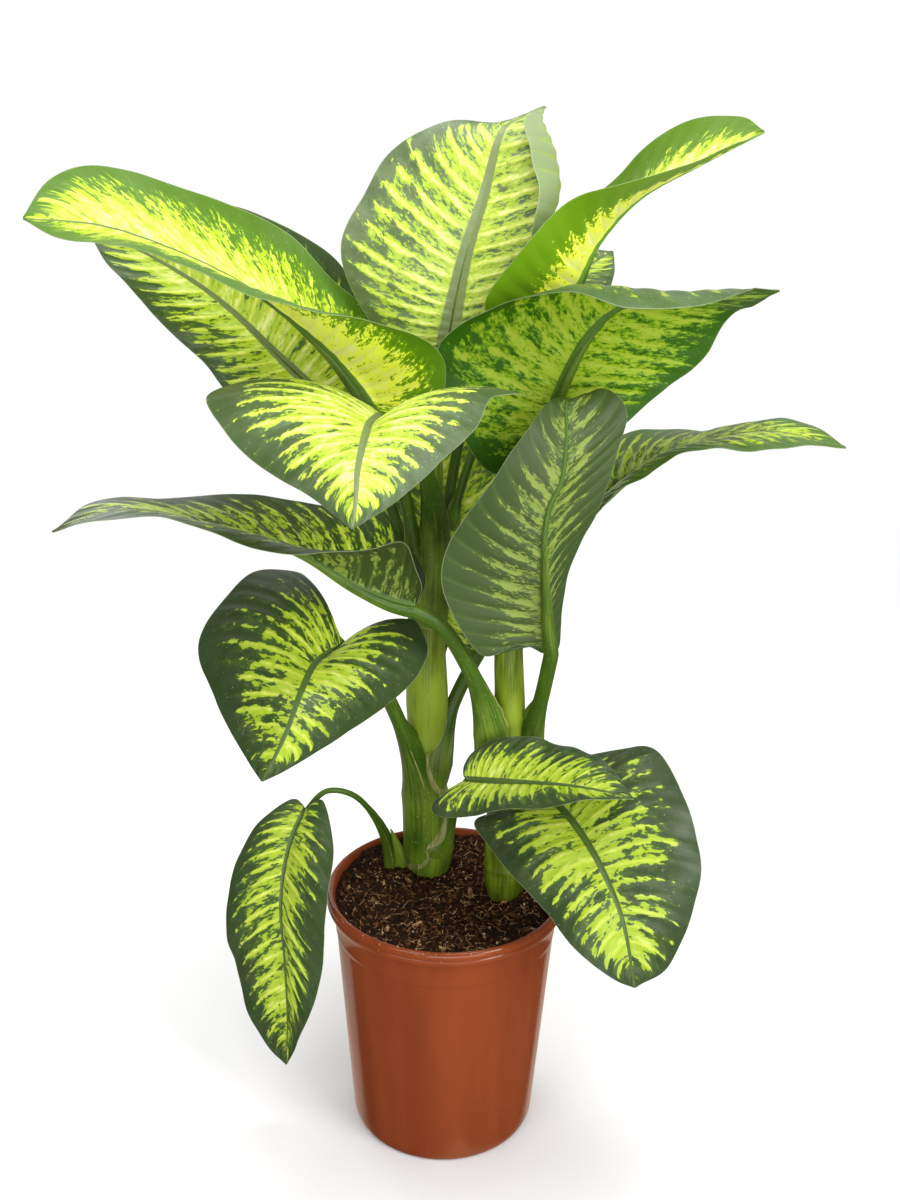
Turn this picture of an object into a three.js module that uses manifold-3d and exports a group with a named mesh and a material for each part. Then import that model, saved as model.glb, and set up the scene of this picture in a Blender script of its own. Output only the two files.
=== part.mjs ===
// Potted dieffenbachia: nursery pot, peat, two canes, a side shoot and fifteen leaves.
// Millimetres, +Z up, +Y away from the front; the origin is the centre of the pot's underside.
import * as THREE from 'three';
import Module from 'manifold-3d';

const wasm = await Module();
wasm.setup();

// Driving dimensions of the pot
const RIM_RADIUS = 105;
const POT_HEIGHT = 229;
const LIP_HEIGHT = 12;
const LIP_DEPTH = 5;
const WALL = 2.4;
const FLARE_DROP = 36;
const FLARE_RADIUS = 97;
const BASE_RADIUS = 83;
const BASE_EDGE = 5;
const DRAIN_HOLES = 6;
const DRAIN_RADIUS = 5;
const DRAIN_CIRCLE = 55;
const POT_SIDES = 44;
const DRAIN_SIDES = 12;

// Driving dimensions of the peat, the canes and the gaps between pieces
const SOIL_LEVEL = 213;
const SOIL_RISE = 19;
const SOIL_BUMP = 1.6;
const SOIL_SIDES = 40;
const SOIL_RINGS = [0.25, 0.5, 0.75, 0.93, 1];
const FIT_GAP = 0.3;
const CANE_SIDES = 14;

// Driving dimensions that every leaf shares
const BLADE_THICKNESS = 1.2;
const RIB_DEPTH = 4;
const BLADE_ROWS = 12;
const CROSS_STEPS = [0.1, 0.55, 1];
const LIP_STEPS = [0.1, 0.5, 0.8, 1];
const STALK_SIDES = 9;
const STALK_RINGS = 11;
const CLASP_SHARE = 0.35;
const TAPER_START = 0.8;
const RIB_REACH = 0.25;
const VEIN_SWEEP = 1.6;
const WAVES = 2.5;
const WAVE_HEIGHT = 3;
const WAVE_SHIFT = 2;
const LIP_START = 0.6;

// Canes: points of the axis with the radius there
const CANE_LEFT = [
  [-17, 58, 130, 17],
  [-17, 58, 205, 20],
  [-17, 58, 250, 19],
  [-18, 57, 292, 18],
  [-18, 56, 332, 16.5],
  [-18, 55, 352, 18],
  [-19, 54, 385, 19],
  [-20, 53, 440, 16.5],
  [-18, 52, 480, 13],
  [-16, 52, 515, 10.5],
  [-15, 52, 560, 9],
  [-15, 53, 600, 7.5],
];
const CANE_RIGHT = [
  [51, 12, 140, 17],
  [52, 12, 205, 18.8],
  [52.5, 12, 240, 19],
  [52, 12, 300, 17.2],
  [52, 12, 345, 15.5],
  [52, 12, 402, 13.3],
  [50, 12, 443, 12.3],
  [50, 14, 500, 10],
];

// Leaves, from the lowest up. petiole: points from the foot on the cane to the blade. rib: the midrib from
// there to the tip. left and right: points of the margin between the blade's base and its
// tip. arch: how far each half bulges to its upper side at base, middle and tip, as a
// share of its width. lips: parts of a margin that roll, with the side, the stretch of
// margin and the shift of its edge. sheath: radius and length of the part that clasps.
// stalk: radius of the petiole above its sheath and at the blade.
const SHOOT = 'leaf_hanging';
const SHOOT_HOLE = [
  [-48, 51, 148, 9.2],
  [-49.5, 51, 182, 9.2],
  [-53, 50, 234, 9.2],
];
const BUD_HOLE = [
  [-43, 50, 179, 6.6],
  [-43, 50, 205, 6.6],
  [-43.5, 50, 232, 6.6],
];
const LEAVES = [
  {
    name: 'leaf_hanging',
    sheath: [8, 140],
    stalk: [3.4, 2.4],
    petiole: [[-48, 51, 150], [-51, 51, 214], [-59, 46, 256], [-80, 36, 294], [-106, 26, 306]],
    rib: [[-125, 20, 291], [-137, 0, 266], [-143, -20, 223], [-140, -30, 169], [-139, -32, 113],
      [-143, -25, 53]],
    left: [[-109, 10, 305], [-98, -15, 276], [-98, -38, 250], [-102, -50, 211], [-112, -52, 144],
      [-127, -42, 97]],
    right: [[-139, 25, 297], [-173, 20, 269], [-193, 5, 222], [-193, -5, 165], [-181, -12, 108],
      [-160, -20, 71]],
    arch: [[0.08, 0.1, 0], [0.08, 0.1, 0]],
    lips: [],
  },
  {
    name: 'leaf_low_front',
    sheath: [22.8, 60],
    stalk: [5, 3],
    petiole: [[-16, 56, 225], [-14, 56, 241], [5, 47, 275], [13, -2, 322]],
    rib: [[15, -38, 351], [43, -55, 359], [85, -78, 369], [118, -95, 373], [143, -108, 373]],
    left: [[15, -30, 362], [31, -26, 381], [67, -30, 386], [99, -44, 387], [127, -75, 384]],
    right: [[-9, -35, 331], [-8, -48, 324], [23, -66, 334], [56, -90, 353], [98, -105, 368]],
    arch: [[0.08, 0.08, 0], [0.08, 0.08, 0]],
    lips: [],
  },
  {
    name: 'leaf_low_right',
    sheath: [19, 45],
    stalk: [6, 4],
    petiole: [[56, 5, 272], [60, -4, 300], [70, -24, 330]],
    rib: [[83, -48, 342], [101, -72, 333], [120, -105, 314], [137, -128, 279], [148, -140, 226]],
    left: [[93, -30, 362], [125, -35, 377], [169, -45, 383], [192, -85, 348], [197, -115, 308],
      [176, -135, 247]],
    right: [[52, -40, 327], [23, -40, 314], [42, -72, 299], [70, -110, 285], [101, -132, 256],
      [130, -140, 235]],
    arch: [[0.08, 0.1, 0], [0.08, 0.1, 0]],
    lips: [],
  },
  {
    name: 'leaf_low_left',
    sheath: [22.5, 135],
    stalk: [8, 5.5],
    petiole: [[-18, 56, 246], [-20, 54, 290], [-27, 46, 325], [-41, 30, 368], [-57, 12, 412]],
    rib: [[-82, -20, 462], [-102, -60, 463], [-111, -90, 452], [-122, -110, 423], [-139, -120, 389]],
    left: [[-53, 5, 457], [-32, 18, 473], [-18, 0, 451], [-39, -45, 429], [-88, -90, 410],
      [-119, -112, 397]],
    right: [[-105, 0, 472], [-124, 25, 507], [-165, 15, 510], [-202, -20, 464], [-182, -65, 431],
      [-158, -100, 407]],
    arch: [[0.1, 0.1, 0], [0.1, 0.1, 0]],
    lips: [],
  },
  {
    name: 'leaf_right',
    sheath: [19, 85],
    stalk: [7.5, 4],
    petiole: [[-12, 49, 305], [-9, 50, 335], [5, 58, 380], [28, 68, 425], [64, 60, 484]],
    rib: [[111, 40, 560], [153, 30, 600], [197, 18, 624], [247, 0, 637], [300, -25, 630]],
    left: [[105, 75, 584], [143, 92, 611], [181, 90, 621], [220, 72, 627], [255, 48, 636], [285, 12, 640]],
    right: [[113, 22, 557], [138, 5, 592], [174, -25, 620], [195, -38, 629], [222, -46, 633],
      [259, -42, 634]],
    arch: [[0.08, 0.08, 0], [0.08, 0.08, 0]],
    lips: [],
  },
  {
    name: 'leaf_front_upright',
    sheath: [12, 70],
    stalk: [6.5, 6.2],
    petiole: [[69, 8, 340], [72, 5, 375], [78, -6, 415]],
    rib: [[79, -20, 456], [73, -30, 533], [74, -32, 576], [84, -30, 603], [87, -22, 633],
      [87, -8, 658], [96, 18, 657]],
    left: [[91, 8, 454], [93, 12, 492], [105, 5, 538], [117, -5, 582], [130, -10, 623],
      [135, 0, 652], [118, 12, 666]],
    right: [[57, -25, 466], [25, -35, 461], [-6, -45, 518], [0, -50, 556], [25, -45, 598],
      [55, -30, 639], [75, -5, 660]],
    arch: [[0.05, 0.08, 0], [0.06, 0.08, 0]],
    lips: [],
  },
  {
    name: 'leaf_left',
    sheath: [17, 95],
    stalk: [8.5, 6],
    petiole: [[40, 5, 345], [37, 0, 380], [22, -14, 430], [-3, -26, 478]],
    rib: [[-26, -30, 500], [-63, -38, 514], [-115, -50, 548], [-172, -65, 571], [-233, -85, 589],
      [-283, -110, 578]],
    left: [[-22, -60, 529], [-33, -90, 567], [-58, -105, 565], [-106, -115, 567], [-148, -120, 577],
      [-197, -122, 589], [-246, -118, 590]],
    right: [[-21, 5, 514], [-40, 20, 539], [-59, 22, 566], [-105, 15, 570], [-159, 5, 577],
      [-203, -12, 583], [-261, -55, 588]],
    arch: [[0.1, 0.08, 0], [0.05, 0.05, 0]],
    lips: [],
  },
  {
    name: 'leaf_behind_canes',
    sheath: [13, 40],
    stalk: [6, 4.5],
    petiole: [[-19, 72, 360], [-17, 78, 385], [-10, 86, 408]],
    rib: [[-4, 88, 428], [-7, 98, 500], [-10, 112, 570], [-12, 135, 645]],
    left: [[-22, 87, 414], [-41, 83, 458], [-60, 88, 503], [-67, 102, 553], [-51, 125, 611]],
    right: [[19, 87, 402], [36, 83, 436], [48, 83, 487], [50, 97, 547], [29, 125, 612]],
    arch: [[0.06, 0.06, 0], [0.06, 0.06, 0]],
    lips: [],
  },
  {
    name: 'leaf_front',
    sheath: [17.5, 150],
    stalk: [8, 5],
    petiole: [[-19, 52, 455], [-17, 51, 495], [-15, 43, 550], [-23, 20, 602], [-38, -4, 632]],
    rib: [[-51, -25, 649], [-57, -85, 654], [-58, -145, 654], [-59, -190, 644], [-58, -220, 632],
      [-59, -238, 618]],
    left: [[-18, -5, 655], [28, -25, 670], [56, -50, 667], [27, -95, 677], [14, -140, 661],
      [-8, -175, 644], [-33, -212, 630]],
    right: [[-102, -10, 661], [-151, -30, 678], [-176, -70, 667], [-154, -115, 649], [-119, -155, 634],
      [-85, -200, 626]],
    arch: [[0.1, 0.1, 0], [0.1, 0.1, 0]],
    lips: [],
  },
  {
    name: 'leaf_back_left',
    sheath: [11, 40],
    stalk: [5.5, 4],
    petiole: [[-34, 66, 470], [-38, 68, 505], [-54, 74, 560], [-76, 78, 605]],
    rib: [[-103, 80, 639], [-149, 88, 680], [-185, 92, 714], [-226, 90, 744], [-296, 75, 784]],
    left: [[-137, 75, 619], [-185, 70, 648], [-207, 62, 679], [-247, 58, 719], [-278, 60, 755]],
    right: [[-66, 95, 646], [-67, 110, 695], [-96, 118, 751], [-148, 118, 784], [-193, 110, 800],
      [-247, 95, 807]],
    arch: [[0.08, 0.08, 0], [0.05, 0.05, 0]],
    lips: [],
  },
  {
    name: 'leaf_top_left',
    sheath: [11, 50],
    stalk: [6.5, 4.5],
    petiole: [[-28, 47, 500], [-31, 44, 530], [-40, 38, 580], [-50, 31, 615]],
    rib: [[-62, 25, 644], [-99, 12, 694], [-142, 0, 732], [-188, -12, 759], [-249, -25, 782],
      [-305, -45, 788]],
    left: [[-42, 14, 640], [-10, 18, 655], [-10, 10, 695], [-47, -30, 721], [-109, -62, 743],
      [-157, -72, 756], [-212, -80, 773], [-265, -70, 775]],
    right: [[-43, 55, 661], [-44, 70, 699], [-94, 75, 739], [-129, 72, 772], [-185, 60, 800],
      [-225, 45, 817], [-264, 25, 826], [-294, -10, 814]],
    arch: [[-0.05, -0.05, 0], [-0.12, -0.12, 0]],
    lips: [['left', 0.2, 0.85, [-2, -6, -9]]],
  },
  {
    name: 'leaf_back',
    sheath: [9, 30],
    stalk: [5, 4],
    petiole: [[-9, 66, 500], [-7, 70, 530], [4, 88, 600], [14, 108, 655]],
    rib: [[23, 120, 686], [58, 160, 713], [96, 205, 736], [132, 245, 751], [153, 280, 759]],
    left: [[5, 140, 697], [14, 190, 727], [52, 240, 750], [105, 270, 762]],
    right: [[39, 105, 676], [83, 120, 687], [125, 160, 709], [147, 225, 736]],
    arch: [[0.08, 0.08, 0], [0.08, 0.08, 0]],
    lips: [],
  },
  {
    name: 'leaf_top_right',
    sheath: [6, 30],
    stalk: [4, 3.5],
    petiole: [[1, 52, 540], [6, 54, 570], [24, 62, 620], [58, 64, 665]],
    rib: [[83, 62, 702], [100, 62, 745], [114, 62, 776], [144, 60, 809], [187, 55, 833], [233, 45, 857]],
    left: [[55, 100, 710], [59, 115, 750], [87, 120, 794], [116, 118, 814], [149, 112, 845],
      [185, 100, 866], [219, 75, 869]],
    right: [[45, 55, 698], [24, 45, 728], [50, 22, 769], [78, 14, 796], [104, 5, 812],
      [141, -2, 826], [186, 10, 837]],
    arch: [[-0.15, -0.15, 0], [-0.05, -0.05, 0]],
    lips: [],
  },
  {
    name: 'leaf_right_upright',
    sheath: [10, 20],
    stalk: [7, 5.5],
    petiole: [[50, 14, 500], [51, 18, 530], [58, 34, 570]],
    rib: [[75, 52, 618], [92, 44, 672], [109, 38, 707], [133, 35, 728], [183, 32, 735], [251, 25, 742]],
    left: [[114, 58, 613], [144, 62, 631], [176, 72, 657], [207, 88, 682], [225, 90, 709], [243, 70, 727]],
    right: [[36, 45, 590], [4, 38, 632], [-12, 30, 696], [35, 10, 739], [81, -20, 754],
      [124, -45, 749], [168, -45, 745], [211, -15, 746]],
    arch: [[0.03, 0.05, 0], [0.05, 0.08, 0]],
    lips: [['right', 0.35, 0.92, [2, -9, -13]]],
  },
  {
    name: 'leaf_top_centre',
    sheath: [9, 20],
    stalk: [7, 5],
    petiole: [[-15, 53, 600], [-15, 54, 625], [-12, 58, 660]],
    rib: [[-6, 62, 690], [7, 72, 757], [22, 85, 807], [35, 105, 855], [51, 125, 868], [72, 140, 879]],
    left: [[-44, 62, 684], [-80, 60, 731], [-91, 62, 769], [-74, 72, 807], [-51, 88, 842],
      [-14, 108, 862], [35, 130, 866]],
    right: [[29, 62, 689], [60, 55, 730], [94, 55, 772], [112, 68, 812], [104, 85, 843], [83, 110, 866]],
    arch: [[0.05, 0.06, 0], [0.05, 0.06, 0]],
    lips: [['right', 0.35, 0.98, [-50, -24, -2]]],
  },
];

const asVector = ([x, y, z]) => new THREE.Vector3(x, y, z);

// A smooth curve through points in three dimensions.
function smoothCurve(points) {
  return new THREE.CatmullRomCurve3(points.map(asVector), false, 'catmullrom', 0.5);
}

// The value at share t of the way along a list of numbers, by a smooth curve through them.
function blend(values, t) {
  return smoothCurve(values.map((value, i) => [i, value, 0])).getPoint(t).y;
}

// A closed solid from its corners and the triangles between them.
function solidFrom(corners, triangles) {
  const vertProperties = new Float32Array(corners.flat());
  const triVerts = new Uint32Array(triangles.flat());
  const mesh = new wasm.Mesh({ numProp: 3, vertProperties, triVerts });
  return new wasm.Manifold(mesh);
}

// A tube of rings of corners, closed at both ends.
function tube(corners, sides) {
  const last = corners.length - sides;
  const triangles = [];
  for (let i = 0; i < last; i += sides) {
    for (let k = 0; k < sides; k += 1) {
      const a = i + k;
      const b = i + ((k + 1) % sides);
      triangles.push([a, b, b + sides], [a, b + sides, a + sides]);
    }
  }
  for (let k = 1; k < sides - 1; k += 1) {
    triangles.push([0, k + 1, k], [last, last + k, last + k + 1]);
  }
  return solidFrom(corners, triangles);
}

// A round stalk along a curve, with a radius for each of its rings.
function stalk(curve, radii) {
  const steps = radii.length - 1;
  const { normals, binormals } = curve.computeFrenetFrames(steps, false);
  const corners = [];
  radii.forEach((radius, i) => {
    const centre = curve.getPointAt(i / steps);
    for (let k = 0; k < STALK_SIDES; k += 1) {
      const angle = (2 * Math.PI * k) / STALK_SIDES;
      const corner = centre
        .clone()
        .addScaledVector(normals[i], radius * Math.cos(angle))
        .addScaledVector(binormals[i], radius * Math.sin(angle));
      corners.push(corner.toArray());
    }
  });
  return tube(corners, STALK_SIDES);
}

// A cane through points that carry their own radius, larger by grow where it cuts.
function cane(points, grow) {
  const corners = [];
  points.forEach(([x, y, z, radius], i) => {
    const end = (i === points.length - 1) - (i === 0);
    for (let k = 0; k < CANE_SIDES; k += 1) {
      const angle = (2 * Math.PI * k) / CANE_SIDES;
      const reach = radius + grow;
      corners.push([x + reach * Math.cos(angle), y + reach * Math.sin(angle), z + end * grow]);
    }
  });
  return tube(corners, CANE_SIDES);
}

// A function that gives the point of a leaf's middle sheet at share u of its margin and
// share v of the way out to it from the rib, negative to the left.
function leafSheet(leaf) {
  const rib = smoothCurve(leaf.rib);
  const base = leaf.rib[0];
  const tip = leaf.rib[leaf.rib.length - 1];
  const margins = {
    left: smoothCurve([base, ...leaf.left, tip]),
    right: smoothCurve([base, ...leaf.right, tip]),
  };
  const archOf = { left: leaf.arch[0], right: leaf.arch[1] };

  return (u, v) => {
    const side = v < 0 ? 'left' : 'right';
    const out = Math.abs(v);
    const ribShare = u ** VEIN_SWEEP;
    const start = rib.getPointAt(ribShare);
    const along = rib.getTangentAt(ribShare);
    const across = margins[side].getPointAt(u).sub(start);
    const reach = across.length();
    const up = new THREE.Vector3().crossVectors(across, along).multiplyScalar(side === 'left' ? -1 : 1);
    const point = start.addScaledVector(across, out);
    if (reach > 0) {
      const turn = 2 * Math.PI * WAVES * u + (side === 'left' ? WAVE_SHIFT : 0);
      const wave = WAVE_HEIGHT * Math.sin(turn) * Math.sin(Math.PI * u);
      const bulge = blend(archOf[side], u) * reach * 4 * out * (1 - out);
      point.addScaledVector(up.normalize(), bulge + wave * out ** 2);
    }
    for (const [lipSide, from, to, shift] of leaf.lips) {
      const share = (u - from) / (to - from);
      if (lipSide === side && share > 0 && share < 1) {
        const rise = Math.max((out - LIP_START) / (1 - LIP_START), 0) ** 2;
        point.addScaledVector(asVector(shift), rise * Math.sin(Math.PI * share) ** 0.7);
      }
    }
    return point;
  };
}

// The direction in which a leaf's upper side looks on its rib at share u.
function facing(sheet, u) {
  const across = sheet(u, 0.3).sub(sheet(u, -0.3));
  const along = sheet(u + 0.05, 0).sub(sheet(u - 0.05, 0));
  return new THREE.Vector3().crossVectors(across, along).normalize();
}

// A blade: one sheet of corners for the upper side and one for the lower, split into
// triangles alike, with the midrib as a ridge under it.
function blade(leaf) {
  const sheet = leafSheet(leaf);
  const steps = leaf.lips.length > 0 ? LIP_STEPS : CROSS_STEPS;
  const columns = [...steps.map((v) => -v).reverse(), 0, ...steps];
  const width = columns.length;
  const middle = steps.length;
  const shares = [];
  for (let i = 1; i <= BLADE_ROWS; i += 1) {
    shares.push(i / (BLADE_ROWS + 1));
  }
  const nudge = 0.01;
  const sheets = [[], []];
  const rowPoint = (u, v) => {
    const here = sheet(u, v);
    const alongStep = sheet(Math.min(u + nudge, 1), v).sub(sheet(Math.max(u - nudge, 0), v));
    const acrossStep = sheet(u, Math.min(v + nudge, 1)).sub(sheet(u, Math.max(v - nudge, -1)));
    const up = new THREE.Vector3().crossVectors(acrossStep, alongStep).normalize();
    const rib = v === 0 ? RIB_DEPTH * (1 - u) ** 0.7 : 0;
    const top = here.clone().addScaledVector(up, BLADE_THICKNESS / 2);
    const bottom = here.clone().addScaledVector(up, -BLADE_THICKNESS / 2 - rib);
    sheets[0].push(top.toArray());
    sheets[1].push(bottom.toArray());
  };
  for (const u of shares) {
    for (const v of columns) {
      rowPoint(u, v);
    }
  }
  const count = sheets[0].length;
  const ends = [count, count + 1];
  for (const [u, up] of [[0, facing(sheet, 0.1)], [1, facing(sheet, 0.9)]]) {
    const here = sheet(u, 0);
    sheets[0].push(here.clone().addScaledVector(up, BLADE_THICKNESS / 2).toArray());
    sheets[1].push(here.clone().addScaledVector(up, -BLADE_THICKNESS / 2).toArray());
  }
  const corners = [...sheets[0], ...sheets[1]];
  const under = sheets[0].length;
  const triangles = [];
  const both = (a, b, c) => {
    triangles.push([a, b, c], [a + under, c + under, b + under]);
  };
  for (let i = 0; i < BLADE_ROWS - 1; i += 1) {
    for (let j = 0; j < width - 1; j += 1) {
      const a = i * width + j;
      if (j < middle) {
        both(a, a + 1, a + width);
        both(a + 1, a + width + 1, a + width);
      } else {
        both(a, a + 1, a + width + 1);
        both(a, a + width + 1, a + width);
      }
    }
  }
  const lastRow = (BLADE_ROWS - 1) * width;
  for (let j = 0; j < width - 1; j += 1) {
    both(ends[0], j + 1, j);
    both(ends[1], lastRow + j, lastRow + j + 1);
  }
  const margin = [ends[0]];
  for (let i = 0; i < BLADE_ROWS; i += 1) {
    margin.push(i * width);
  }
  margin.push(ends[1]);
  for (let i = BLADE_ROWS - 1; i >= 0; i -= 1) {
    margin.push(i * width + width - 1);
  }
  for (let i = 0; i < margin.length; i += 1) {
    const a = margin[i];
    const b = margin[(i + 1) % margin.length];
    triangles.push([a, b, b + under], [a, b + under, a + under]);
  }
  return solidFrom(corners, triangles);
}

// A petiole with the sheath that clasps the cane, run in under the rib, larger by grow.
function petiole(leaf, grow) {
  const sheet = leafSheet(leaf);
  const [lower, upper] = leaf.stalk;
  const below = facing(sheet, 0.1).multiplyScalar(-upper * 0.6);
  const run = [...leaf.petiole];
  for (const u of [0, RIB_REACH]) {
    run.push(sheet(u, 0).add(below).toArray());
  }
  const curve = smoothCurve(run);
  const length = curve.getLength();
  const [sheathRadius, sheathLength] = leaf.sheath;
  const radii = [];
  for (let i = 0; i < STALK_RINGS; i += 1) {
    const share = i / (STALK_RINGS - 1);
    const climb = (share * length) / sheathLength;
    const clasp = Math.min(Math.max((1 - climb) / (1 - CLASP_SHARE), 0), 1) ** 1.3;
    const plain = lower + (upper - lower) * share;
    const taper = 1 - 2.5 * Math.max(share - TAPER_START, 0);
    radii.push((plain + (sheathRadius - lower) * clasp) * taper + grow);
  }
  return stalk(curve, radii);
}

// The side shoot's bud: a closed new sheath beside its petiole.
function bud() {
  const curve = smoothCurve([[-43, 50, 180], [-43, 50, 222], [-46, 49, 240], [-51, 47, 257]]);
  return stalk(curve, [6, 6, 6, 5.2, 4.3, 2.6, 0.8]);
}

// The largest connected body of a solid.
function largestBody(solid) {
  const bodies = solid.decompose();
  return bodies.reduce((best, body) => (body.volume() > best.volume() ? body : best));
}

// The named mesh of a solid, in a colour with its roughness.
function meshOf(name, solid, color, roughness) {
  const { vertProperties, triVerts } = solid.getMesh();
  const geometry = new THREE.BufferGeometry();
  geometry.setAttribute('position', new THREE.BufferAttribute(new Float32Array(vertProperties), 3));
  geometry.setIndex(new THREE.BufferAttribute(new Uint32Array(triVerts), 1));
  const material = new THREE.MeshStandardMaterial({ color, roughness, metalness: 0 });
  const mesh = new THREE.Mesh(geometry, material);
  mesh.name = name;
  return mesh;
}

// The solid turned round the Z axis by a closed profile of radius and height.
function turned(profile, sides) {
  const corners = [];
  const triangles = [];
  const rows = profile.map(([radius, z]) => {
    if (radius === 0) {
      corners.push([0, 0, z]);
      return [corners.length - 1];
    }
    const row = [];
    for (let k = 0; k < sides; k += 1) {
      const angle = (2 * Math.PI * k) / sides;
      corners.push([radius * Math.cos(angle), radius * Math.sin(angle), z]);
      row.push(corners.length - 1);
    }
    return row;
  });
  for (let i = 0; i < rows.length - 1; i += 1) {
    for (let k = 0; k < sides; k += 1) {
      const next = (k + 1) % sides;
      const [low, high] = [rows[i], rows[i + 1]];
      if (low.length === 1) {
        triangles.push([low[0], high[next], high[k]]);
      } else if (high.length === 1) {
        triangles.push([low[k], low[next], high[0]]);
      } else {
        triangles.push([low[k], low[next], high[next]], [low[k], high[next], high[k]]);
      }
    }
  }
  return solidFrom(corners, triangles);
}

// The pot's radius inside its wall at a height.
function innerRadius(z) {
  const flareTop = POT_HEIGHT - LIP_HEIGHT;
  const flareLow = POT_HEIGHT - FLARE_DROP;
  if (z > flareLow) {
    const share = Math.min((z - flareLow) / (flareTop - flareLow), 1);
    return FLARE_RADIUS + (RIM_RADIUS - LIP_DEPTH - FLARE_RADIUS) * share - WALL;
  }
  return BASE_RADIUS + ((FLARE_RADIUS - BASE_RADIUS) * z) / flareLow - WALL;
}

// Nursery pot with a rolled lip, a short flare and drain holes.
function pot() {
  const lipLow = POT_HEIGHT - LIP_HEIGHT;
  const neck = RIM_RADIUS - LIP_DEPTH;
  const profile = [
    [0, 0],
    [BASE_RADIUS - BASE_EDGE, 0],
    [BASE_RADIUS - 1.5, 1.5],
    [BASE_RADIUS, BASE_EDGE],
    [FLARE_RADIUS, POT_HEIGHT - FLARE_DROP],
    [neck, lipLow],
    [RIM_RADIUS - 1, lipLow],
    [RIM_RADIUS, lipLow + 2],
    [RIM_RADIUS, POT_HEIGHT - 4],
    [RIM_RADIUS - 1.5, POT_HEIGHT - 0.5],
    [RIM_RADIUS - 3.5, POT_HEIGHT],
    [neck, POT_HEIGHT - 1.5],
    [innerRadius(POT_HEIGHT), POT_HEIGHT - 6],
    [innerRadius(lipLow), lipLow],
    [innerRadius(POT_HEIGHT - FLARE_DROP), POT_HEIGHT - FLARE_DROP],
    [innerRadius(BASE_EDGE), BASE_EDGE],
    [innerRadius(BASE_EDGE) - 3, WALL],
    [0, WALL],
  ];
  let solid = turned(profile, POT_SIDES);
  for (let k = 0; k < DRAIN_HOLES; k += 1) {
    const angle = (2 * Math.PI * k) / DRAIN_HOLES;
    const drill = turned([[0, -1], [DRAIN_RADIUS, -1], [DRAIN_RADIUS, WALL + 1], [0, WALL + 1]], DRAIN_SIDES);
    const spot = [DRAIN_CIRCLE * Math.cos(angle), DRAIN_CIRCLE * Math.sin(angle), 0];
    solid = solid.subtract(drill.translate(spot));
  }
  return solid;
}

// The height of the peat at a place: heaped up along the wall, most at the back, with small bumps.
function soilLevel(x, y) {
  const bumps = Math.sin(x / 13 + 1.2) * Math.cos(y / 11) + 0.6 * Math.sin(x / 7 - y / 9);
  const heap = (Math.hypot(x, y) / RIM_RADIUS) ** 4 * (0.6 + (0.4 * y) / RIM_RADIUS);
  return SOIL_LEVEL + SOIL_RISE * heap + SOIL_BUMP * bumps;
}

// Peat with a plain hole for each stem.
function soil(holes) {
  const corners = [[0, 0, soilLevel(0, 0)]];
  const triangles = [];
  const addRing = (radius, height) => {
    for (let k = 0; k < SOIL_SIDES; k += 1) {
      const angle = (2 * Math.PI * k) / SOIL_SIDES;
      const x = radius * Math.cos(angle);
      const y = radius * Math.sin(angle);
      corners.push([x, y, height(x, y)]);
    }
  };
  for (const ring of SOIL_RINGS) {
    addRing(ring * (innerRadius(SOIL_LEVEL) - FIT_GAP * 2), soilLevel);
  }
  addRing(innerRadius(POT_HEIGHT - FLARE_DROP) - FIT_GAP * 2, () => POT_HEIGHT - FLARE_DROP - 1);
  addRing(innerRadius(BASE_EDGE) - FIT_GAP * 2, () => BASE_EDGE + 1);
  addRing(innerRadius(BASE_EDGE) - 3 - FIT_GAP * 2, () => WALL + FIT_GAP);
  corners.push([0, 0, WALL + FIT_GAP]);
  const bottom = corners.length - 1;
  const last = bottom - SOIL_SIDES;
  for (let k = 0; k < SOIL_SIDES; k += 1) {
    const next = (k + 1) % SOIL_SIDES;
    triangles.push([0, 1 + k, 1 + next]);
    for (let a = 1; a < last; a += SOIL_SIDES) {
      const b = a + SOIL_SIDES;
      triangles.push([a + k, b + k, b + next], [a + k, b + next, a + next]);
    }
    triangles.push([last + k, bottom, last + next]);
  }
  return holes.reduce((solid, hole) => solid.subtract(hole), solidFrom(corners, triangles));
}

const plant = new THREE.Group();
plant.add(meshOf('pot', pot(), 0x9c4a2c, 0.35));
const holes = [cane(CANE_LEFT, FIT_GAP), cane(CANE_RIGHT, FIT_GAP)];
plant.add(meshOf('cane_left', cane(CANE_LEFT, 0), 0x6f9a3a, 0.45));
plant.add(meshOf('cane_right', cane(CANE_RIGHT, 0), 0x6f9a3a, 0.45));
const room = [...holes];
for (const leaf of LEAVES) {
  let solid = blade(leaf).add(petiole(leaf, 0));
  if (leaf.name === SHOOT) {
    solid = solid.add(bud());
    holes.push(cane(SHOOT_HOLE, 0), cane(BUD_HOLE, 0));
  }
  solid = room.reduce((rest, piece) => rest.subtract(piece), solid);
  plant.add(meshOf(leaf.name, largestBody(solid), 0x5f9a2e, 0.35));
  room.push(petiole(leaf, FIT_GAP));
}
plant.add(meshOf('soil', soil(holes), 0x35221a, 0.9));

export default plant;
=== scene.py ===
import math

import bpy
import numpy as np
from mathutils import Matrix, Vector, noise


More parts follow.
